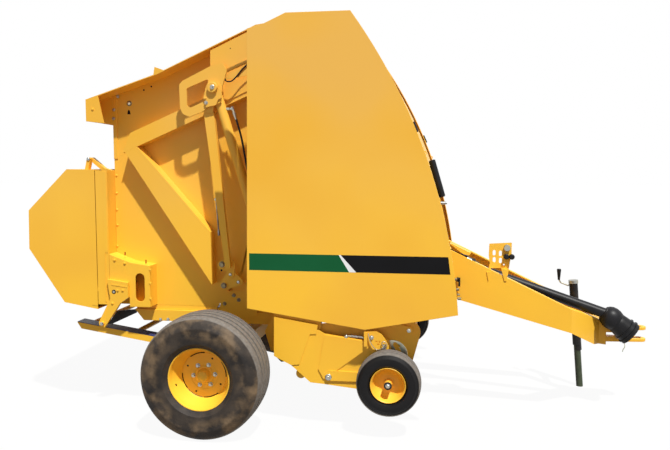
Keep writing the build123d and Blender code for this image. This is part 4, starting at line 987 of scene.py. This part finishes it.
# %% [markdown]
# ## Net box, ramp and brackets
# The cover's front edge is folded over the frame, and the ramp's runners have a black wear strip on top,
# whose blue tone is painted sky reflection. A plate ties the lower rail's end to the ramp's spring, black as
# painted shade. Such thin folds and strips give the eye the lines between sheets, and plates a millimetre
# or two proud are enough for that.

# %% Net box edge, ramp strip and spring plate
COVER_FOLD = [(-925, 742), (-884, 740), (-884, 1680), (-925, 1680)]
FRAME_STRIP = [(-826, 770), (-818, 770), (-818, 1112), (-800, 1112), (-800, 1668), (-826, 1668)]
ARM_BEAD = rounded([(-770, 900), (-655, 884), (-655, 876), (-770, 892)], 2)
WEAR_STRIP = [(-1098, 596.2), (-330, 482.6), (-330, 485.6), (-1100, 599.2)]
SPRING_PLATE_SHADE = [(-871, 589), (-798, 682), (-661, 697), (-661, 672), (-836, 590)]

for side_name, side in SIDES:
    gate_yellow = kit("tailgate", yellow_enamel)
    panel(kit("net_cover", yellow_enamel), [COVER_FOLD], BRACKET_FACE + 0.2, BRACKET_FACE + 2, side)
    panel(gate_yellow, [FRAME_STRIP], BRACKET_FACE, BRACKET_FACE + 2.5, side)
    panel(gate_yellow, [ARM_BEAD], ARM_FACE, ARM_FACE + 2, side)
    dome(kit("net_cover", zinc_plate), -940, 1752, 692, 12, 8, side)
    # Painted reflection: the wear strip's blue tone stands for the sky mirrored in its black enamel.
    panel(kit("bale_ramp", ramp_enamel), [WEAR_STRIP], 513, 617, side)
    # Painted shade: this plate is black enamel, standing for a yellow part that lies in deep shade.
    panel(kit("root", black_enamel), [SPRING_PLATE_SHADE], 585, 612, side)
print("kits so far", len(kits))

# %% [markdown]
# ## Pickup trim
# Each end of the pickup carries its gauge wheel's height adjuster: a quadrant plate with a few holes, a
# pivot bolt, and a spring pin on a short wire. Overlapping sheets cover the cam side and the feeder behind
# it. Their outlines were read from the picture through the camera above, and stay lists of a few points,
# because cut sheet has straight edges.

# %% Outlines of the pickup's end
QUADRANT = rounded(
    [(983, 652), (1062, 658), (1098, 640), (1126, 600), (1152, 544), (1080, 540), (1029, 540)], 18)
QUADRANT_HOLES = [around((x, z, 6), steps=14) for x, z in ((1064, 593), (1084, 592), (1076, 575))]
QUADRANT_EDGE = [(985, 560), (1006, 560), (1006, 652), (985, 652)]
COVER_SHEET = rounded([
    (727, 622), (975, 592), (1030, 598), (1022, 556), (790, 378), (764, 372), (722, 330), (686, 396),
    (692, 420),
], 5)
PICK_COVER = [
    (600, 650), (690, 650), (727, 629), (990, 593), (1000, 560), (1190, 420), (1028, 300), (932, 275),
    (717, 296), (633, 302), (497, 418), (510, 440),
]
WHEEL_ARM = around((764, 356, 34), (1150, 355, 26))
FEEDER_COVER = [(394, 727), (683, 683), (674, 624), (632, 622), (560, 420), (507, 412), (392, 468)]
FEEDER_REAR = [(394, 725), (394, 466), (340, 470), (300, 600), (368, 727)]
FEEDER_GAP_SHADE = [(378, 464), (490, 424), (428, 417)]
END_ARM = around((1267, 662, 24), (1175, 690, 20))
END_PLATE = [(644, 560), (650, 680), (880, 706), (1000, 664), (1010, 590), (900, 560)]
END_BOSS = around((566, 352, 32))
REEL_SLOT = around((1180, 569, 14), (1206, 521, 14))
PIN_WIRE = [(1012, 648), (1018, 620), (1026, 590), (1044, 562), (1066, 540), (1096, 548), (1110, 562)]
SPRING_PIN = [(1110, 562), (1096, 584), (1106, 600), (1128, 590), (1134, 566), (1118, 548)]
SPRING_RUN = Vector((106, 0, -8))
COILS = 9
print("pickup outline points", len(QUADRANT) + len(COVER_SHEET) + len(PICK_COVER))

# %% [markdown]
# ## Fitting the pickup's trim
# The plates stand one over the other, a few millimetres apart, as on the machine. Each is cut from its own
# outline, which keeps their edges and shadows apart, where one carved block would not. The spring is a row
# of short rings, since its turns lie too close to show their slant.

# %% Adjuster, cover sheets and pins
SHEET_AT = 818  # the cover sheets' inner face
QUAD_FACE = 836

trim = bmesh.new()
feeder = bmesh.new()
for side_name, side in SIDES:
    panel(trim, [END_ARM], 790, 798, side)
    panel(trim, [END_PLATE], 782, 786, side)
    panel(trim, [END_BOSS], 790, 800, side)
    panel(trim, [REEL_SLOT], 794, 794.8, side)
    panel(feeder, [FEEDER_COVER], 823, 826, side)
    panel(kit("root", yellow_enamel), [FEEDER_REAR], 696, 702, side)
    # Painted shade: a thin black plate where a dark gap shows under the feeder cover.
    panel(kit("root", black_enamel), [FEEDER_GAP_SHADE], 770, 776, side)
    work = kit("pickup", yellow_enamel)
    panel(work, [QUADRANT, *QUADRANT_HOLES], QUAD_FACE - 6, QUAD_FACE, side)
    panel(work, [COVER_SHEET], SHEET_AT, SHEET_AT + 11, side)
    panel(work, [QUADRANT_EDGE], 829, 846, side)
    panel(work, [WHEEL_ARM], 824, 832, side)
    panel(work, [PICK_COVER], SHEET_AT, SHEET_AT + 3, side)
    zinc = kit("pickup", zinc_plate)
    bolt(zinc, 1033, 618, QUAD_FACE, 18, 10, side)
    dome(zinc, 754, 346, 832, 21, 8, side)
    bolt(zinc, 754, 346, 837, 19, 10, side)
    bolt(zinc, 1267, 662, 798, 17, 9, side)
    dome(zinc, 868, 613, SHEET_AT, 13, 12, side)
    rod(zinc, 5, 0, 118, at(866, side * 812, 617), SPRING_RUN, 14)
    rod(zinc, 9, 0, 34, at(1108, side * 842, 548), Vector((0.35, 0, 1)), 16)
    tube(f"pin_wire_{side_name}", side * 848, PIN_WIRE, 2.4, zinc_plate, "pickup")
    tube(f"spring_pin_{side_name}", side * 848, SPRING_PIN, 2.6, zinc_plate, "pickup")
    for i in range(COILS):
        coil = at(900 + 8 * i, side * 812, 614.6 - 0.6 * i)
        turn(kit("pickup", worn_steel), [(7, -2), (10, -2), (10, 2), (7, 2)], coil, SPRING_RUN, 16)

from_bmesh("pickup_end_trim", trim, yellow_enamel, "pickup", smooth=False)
sunlit.append(from_bmesh("feeder_covers", feeder, yellow_enamel, "root", smooth=False))
print("sunlit pieces", len(sunlit))

# %% [markdown]
# ## Hose bracket
# A bent bracket on the right beam parks the hose ends. It has two columns of slots, a plated stud and two
# black knobs. The slots show the white behind them, so here they are real holes in the plate, which takes
# the place of the CAD model's plainer one.

# %% Hose bracket
BRACKET_IN, BRACKET_OUT = 297, 303
HOSE_PLATE = rounded([
    (1787, 1173), (1937, 1183), (1937, 1100), (1926, 1046), (1915, 960), (1905, 940), (1867, 1007),
    (1800, 1004), (1800, 975), (1785, 996), (1792, 1040), (1784, 1090),
], 5)
HOSE_SLOTS = [around((x, z + 9, 10), (x, z - 9, 10), steps=16)
              for x, z in ((1820, 1111), (1821, 1062), (1862, 1107), (1863, 1058))]
HOSE_SLOTS.append(around((1887, 1030, 6), steps=12))
FEET = ([(1769, 984), (1800, 984), (1784, 914)], [(1866, 1012), (1908, 996), (1906, 922), (1890, 922)])
KNOB = [(0, 0), (11, 0), (11, 6), (18, 8), (19, 30), (13, 36), (0, 36)]

work = bmesh.new()
panel(work, [HOSE_PLATE, *HOSE_SLOTS], BRACKET_IN, BRACKET_OUT)
for foot in FEET:
    panel(work, [rounded(foot, 3)], BRACKET_OUT, 336)
bracket = from_bmesh("hose_bracket_plate", work, yellow_enamel, "root")
soften(bracket)
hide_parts("hose_bracket")

zinc = kit("root", zinc_plate)
black = kit("root", black_polyethylene)
turn(zinc, [(0, 0), (23, 0), (23, 16), (20, 20), (0, 20)], at(1905, -BRACKET_OUT, 1146), (0, -1, 0), 32)
for x in (1901, 1937):
    turn(black, KNOB, at(x, -300, 1087), (0, -1, 0), 24)
print("bracket slots", len(HOSE_SLOTS))

# %% [markdown]
# ## Hoses on the drawbar
# Two hydraulic hoses come out from under the front cover's strip and end in plated couplings with black
# dust caps. They lie in the beam, so they hardly sag, and four points of a curve are enough for each.

# %% Drawbar hoses and couplings
COVER_STRIP = [(1520, 1166), (1532, 1168), (1664, 1104), (1652, 1088), (1610, 1098)]
DRAWBAR_HOSE = [(1440, 1152), (1524, 1114), (1580, 1090), (1634, 1064)]
COUPLING = [(0, 0), (14, 0), (14, 16), (11, 18), (11, 40), (0, 40)]
COUPLING_RUN = Vector((50, 0, -20))

panel(kit("root", yellow_enamel), [COVER_STRIP], 200, 300)
for step in (0, 34):
    y = step - 284
    tube(f"drawbar_hose_{step}", y, DRAWBAR_HOSE, 12, hose_rubber, "root")
    end = at(DRAWBAR_HOSE[-1][0], y, DRAWBAR_HOSE[-1][1])
    turn(zinc, COUPLING, end, COUPLING_RUN, 24)
    rod(black, 17, 38, 62, end, COUPLING_RUN, 24)
print("drawbar hose points", len(DRAWBAR_HOSE))

# %% [markdown]
# ## Valve fittings and shield catch
# A row of small fittings shows beside the shield's front edge, with a black handle above them, and the
# shield has a rubber bumper and a catch lug on that edge. Rods and discs are enough at this size.

# %% Valve fittings and the front edge of the shields
FITTINGS = (
    # x, z, radius, length
    (1558, 927, 10, 22), (1577, 858, 9, 20), (1582, 822, 7, 20), (1588, 794, 10, 24),
)
CATCH = around((1358, 1780, 13), (1330, 1770, 12))
CATCH_HOLE = around((1360, 1781, 6), steps=12)

for x, z, radius, long in FITTINGS:
    rod(kit("root", brown_zinc), radius, 0, long, at(x - long / 2, -352, z), (1, 0, 0), 24)
rod(black, 7, 0, 60, at(1586, -356, 880), (0, 0, 1))
rod(black, 16, 0, 10, at(1570, -352, 927), (1, 0, 0), 24)
turn(zinc, [(0, 0), (12, 0), (12, 32), (8, 34), (8, 44), (0, 44)], at(1452, -300, 1449), (1, 0, 0), 24)
for side_name, side in SIDES:
    body = f"shield_{side_name}"
    rod(kit(body, hose_rubber), 9, 0, 66, at(1287, side * 930, 1968), Vector((27, 0, -60)), 16)
    panel(kit(body, yellow_enamel), [CATCH, CATCH_HOLE], 925, 931, side)
print("fittings", len(FITTINGS))

# %% [markdown]
# ## Jack
# The jack's crank is a bent steel bar with a tapered plastic grip. Its head is a plated casting and a black
# ring closes the tube's foot. The crank is a row of short bars along its bends. The head is part of the CAD
# tube, so its faces get a second material, chosen by their height, and the mesh stays as it is.

# %% Crank, grip, ring and head
JACK_Y = 372
HEAD_FROM = 0.778  # metres above the ground
CRANK = [(2358, 834), (2366, 817), (2373, 808), (2426, 787), (2453, 800), (2466, 806)]
CRANK_R = 6
GRIP = [(0, 0), (8, 0), (9, 6), (16, 76), (16, 82), (12, 86), (0, 86)]

work = bmesh.new()
for (x, z), (x2, z2) in zip(CRANK, CRANK[1:]):
    run = Vector((x2 - x, 0, z2 - z))
    rod(work, CRANK_R, -2, run.length + 2, at(x, JACK_Y, z), run)
crank = from_bmesh("jack_crank_rod", work, zinc_plate, "jack_tube")
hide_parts("jack_crank")
turn(kit("jack_tube", black_polyethylene), GRIP, at(2358, JACK_Y, 828), Vector((-1, 0, 86)), 24)
turn(kit("jack_tube", black_enamel), [(25.6, 0), (28, 0), (28, 40), (25.6, 40)], at(2510.5, JACK_Y, 327),
     Vector((42, 0, -494)), 32)
casting = nodes["jack_tube"]
casting.data.materials.append(zinc_plate)
for face in casting.data.polygons:
    if (casting.matrix_world @ face.center).z > HEAD_FROM:
        face.material_index = 1
print("crank bends", len(CRANK) - 2)

# %% [markdown]
# ## Driveline guard
# The guard is a pair of telescoping polyethylene tubes with a ribbed bell over each joint, and a thin chain
# stops it from turning. The bell's dome, its ribs and the tubes' collar are turned about the shaft's line.
# The chain's links would be under a pixel each, so it is a thin wire.

# %% Bell ribs, chain and nose plate
LINE_REAR = Vector((1575, 0, 1008))
LINE_FRONT = Vector((2601, -140, 678))
BELL_MOUTH = Vector((2768, -152, 540))
BELL = [(0, -26), (34, -24), (56, -12), (70, 8), (77, 32), (78, 58), (72, 86), (60, 100), (0, 100)]
BELL_RIBS = ((160, 74, 85, 8), (192, 76, 88, 12))  # along the bell, foot radius, top radius, width
COLLAR = [(34, 562), (38, 563), (38, 574), (34, 575)]
CHAIN_DROP = [(2722, 478), (2727, 462), (2724, 448), (2714, 434), (2712, 420)]
NOSE_PLATE = rounded([(2568, 585), (2620, 575), (2680, 540), (2700, 500), (2700, 472), (2537, 466)], 12)
NOSE_SLOT = around((2620, 518, 15), (2662, 518, 15), steps=24)

down = BELL_MOUTH - LINE_FRONT
turn(black, BELL, at(*LINE_FRONT), down, 48)
for along, foot, top, wide in BELL_RIBS:
    rib = [(foot, along - wide / 2), (top, along - wide / 3), (top, along + wide / 3),
           (foot, along + wide / 2)]
    turn(black, rib, at(*LINE_FRONT), down, 48)
turn(black, COLLAR, at(*LINE_REAR), LINE_FRONT - LINE_REAR, 48)
tube("guard_chain", -168, CHAIN_DROP, 3, chromate_zinc, "root")
panel(kit("root", yellow_enamel), [NOSE_PLATE, NOSE_SLOT], 71, 77)
print("driveline", round((LINE_FRONT - LINE_REAR).length), "mm between joints")

# %% [markdown]
# ## Closing the kits
# Every kit becomes one piece on its body, with its own finish. Closing
# them last, in one loop, lets any step above still add to a kit.

# %% Close the kits
for (body, finish_name), work in kits.items():
    piece = from_bmesh(f"{finish_name}_on_{body}", work, bpy.data.materials[finish_name], body, angle=40)
faces = sum(len(item.data.polygons) for item in bpy.data.objects if item.type == "MESH")
print("kits", len(kits), "faces in all", faces)

# %% [markdown]
# ## Sun on the pickup
# On the real machine the pickup is wider than the shields, and in the picture the sun falls on its whole
# side. The shields would shade it here, so it gets a second sun of the same kind, for which they cast no
# shadow. The wheel discs lie in full shade in the picture, so no sun is meant for them. Blender calls this
# light linking: each lamp has a list of what it lights and of what blocks it.

# %% Light linking
UNBLOCKING = ("shield_right", "shield_left", "ribbed_gauge_tyre_right", "ribbed_gauge_tyre_left")


def is_shaded(piece):
    """Whether a piece lies in shade in the picture: wheel discs, what is on them, and the gate's rods."""
    on_wheel = piece.name.partition("_on_")[2].startswith("wheel_")
    return piece.name.startswith("wheel_disc") or on_wheel or piece == gate_rods


def excluding(name, pieces):
    """A light-linking list that leaves these pieces out and holds all others."""
    group = bpy.data.collections.new(name)
    for piece in pieces:
        group.objects.link(piece)
    for item in group.collection_objects:
        item.light_linking.link_state = "EXCLUDE"
    return group


shaded = [piece for piece in bpy.data.objects if is_shaded(piece)]
low_sun = add_sun("low_sun")
low_pieces = bpy.data.collections.new("sunlit_pickup")
for piece in sunlit:
    low_pieces.objects.link(piece)
low_sun.light_linking.receiver_collection = low_pieces
low_sun.light_linking.blocker_collection = excluding(
    "all_but_shields_and_tyres", [bpy.data.objects[name] for name in UNBLOCKING])
sun.light_linking.receiver_collection = excluding("all_but_the_pickup", sunlit + shaded)
sun.light_linking.blocker_collection = excluding("all_but_the_gussets", [gusset, gate_rods])
print("pieces in second sun", len(sunlit), "in shade", len(shaded))

# %% [markdown]
# ## Shade card
# The tailgate's latch lies in the shield's shade in the picture. A lamp's angle alone can't give that
# without moving every other shadow, so a card stands behind the shield's edge, as a flag does in a studio.
# It casts a shadow, and neither the camera nor any reflection sees it.

# %% Shade card
CARD = [(92, 1150), (249, 1150), (249, 2270), (150, 2270), (150, 1880), (92, 1880)]
CARD_Y = -932

card_mesh = bpy.data.meshes.new("shade_card")
card_mesh.from_pydata([at(x, CARD_Y, z) for x, z in CARD], [], [range(len(CARD))])
card = bpy.data.objects.new("shade_card", card_mesh)
bpy.context.scene.collection.objects.link(card)
card.visible_camera = False
card.visible_diffuse = False
card.visible_glossy = False
card.visible_transmission = False
print("card", CARD[2][1] - CARD[1][1], "mm high")

# %% [markdown]
# ## Finish
# The view layer is brought up to date at the end.

# %% Finish
bpy.context.view_layer.update()
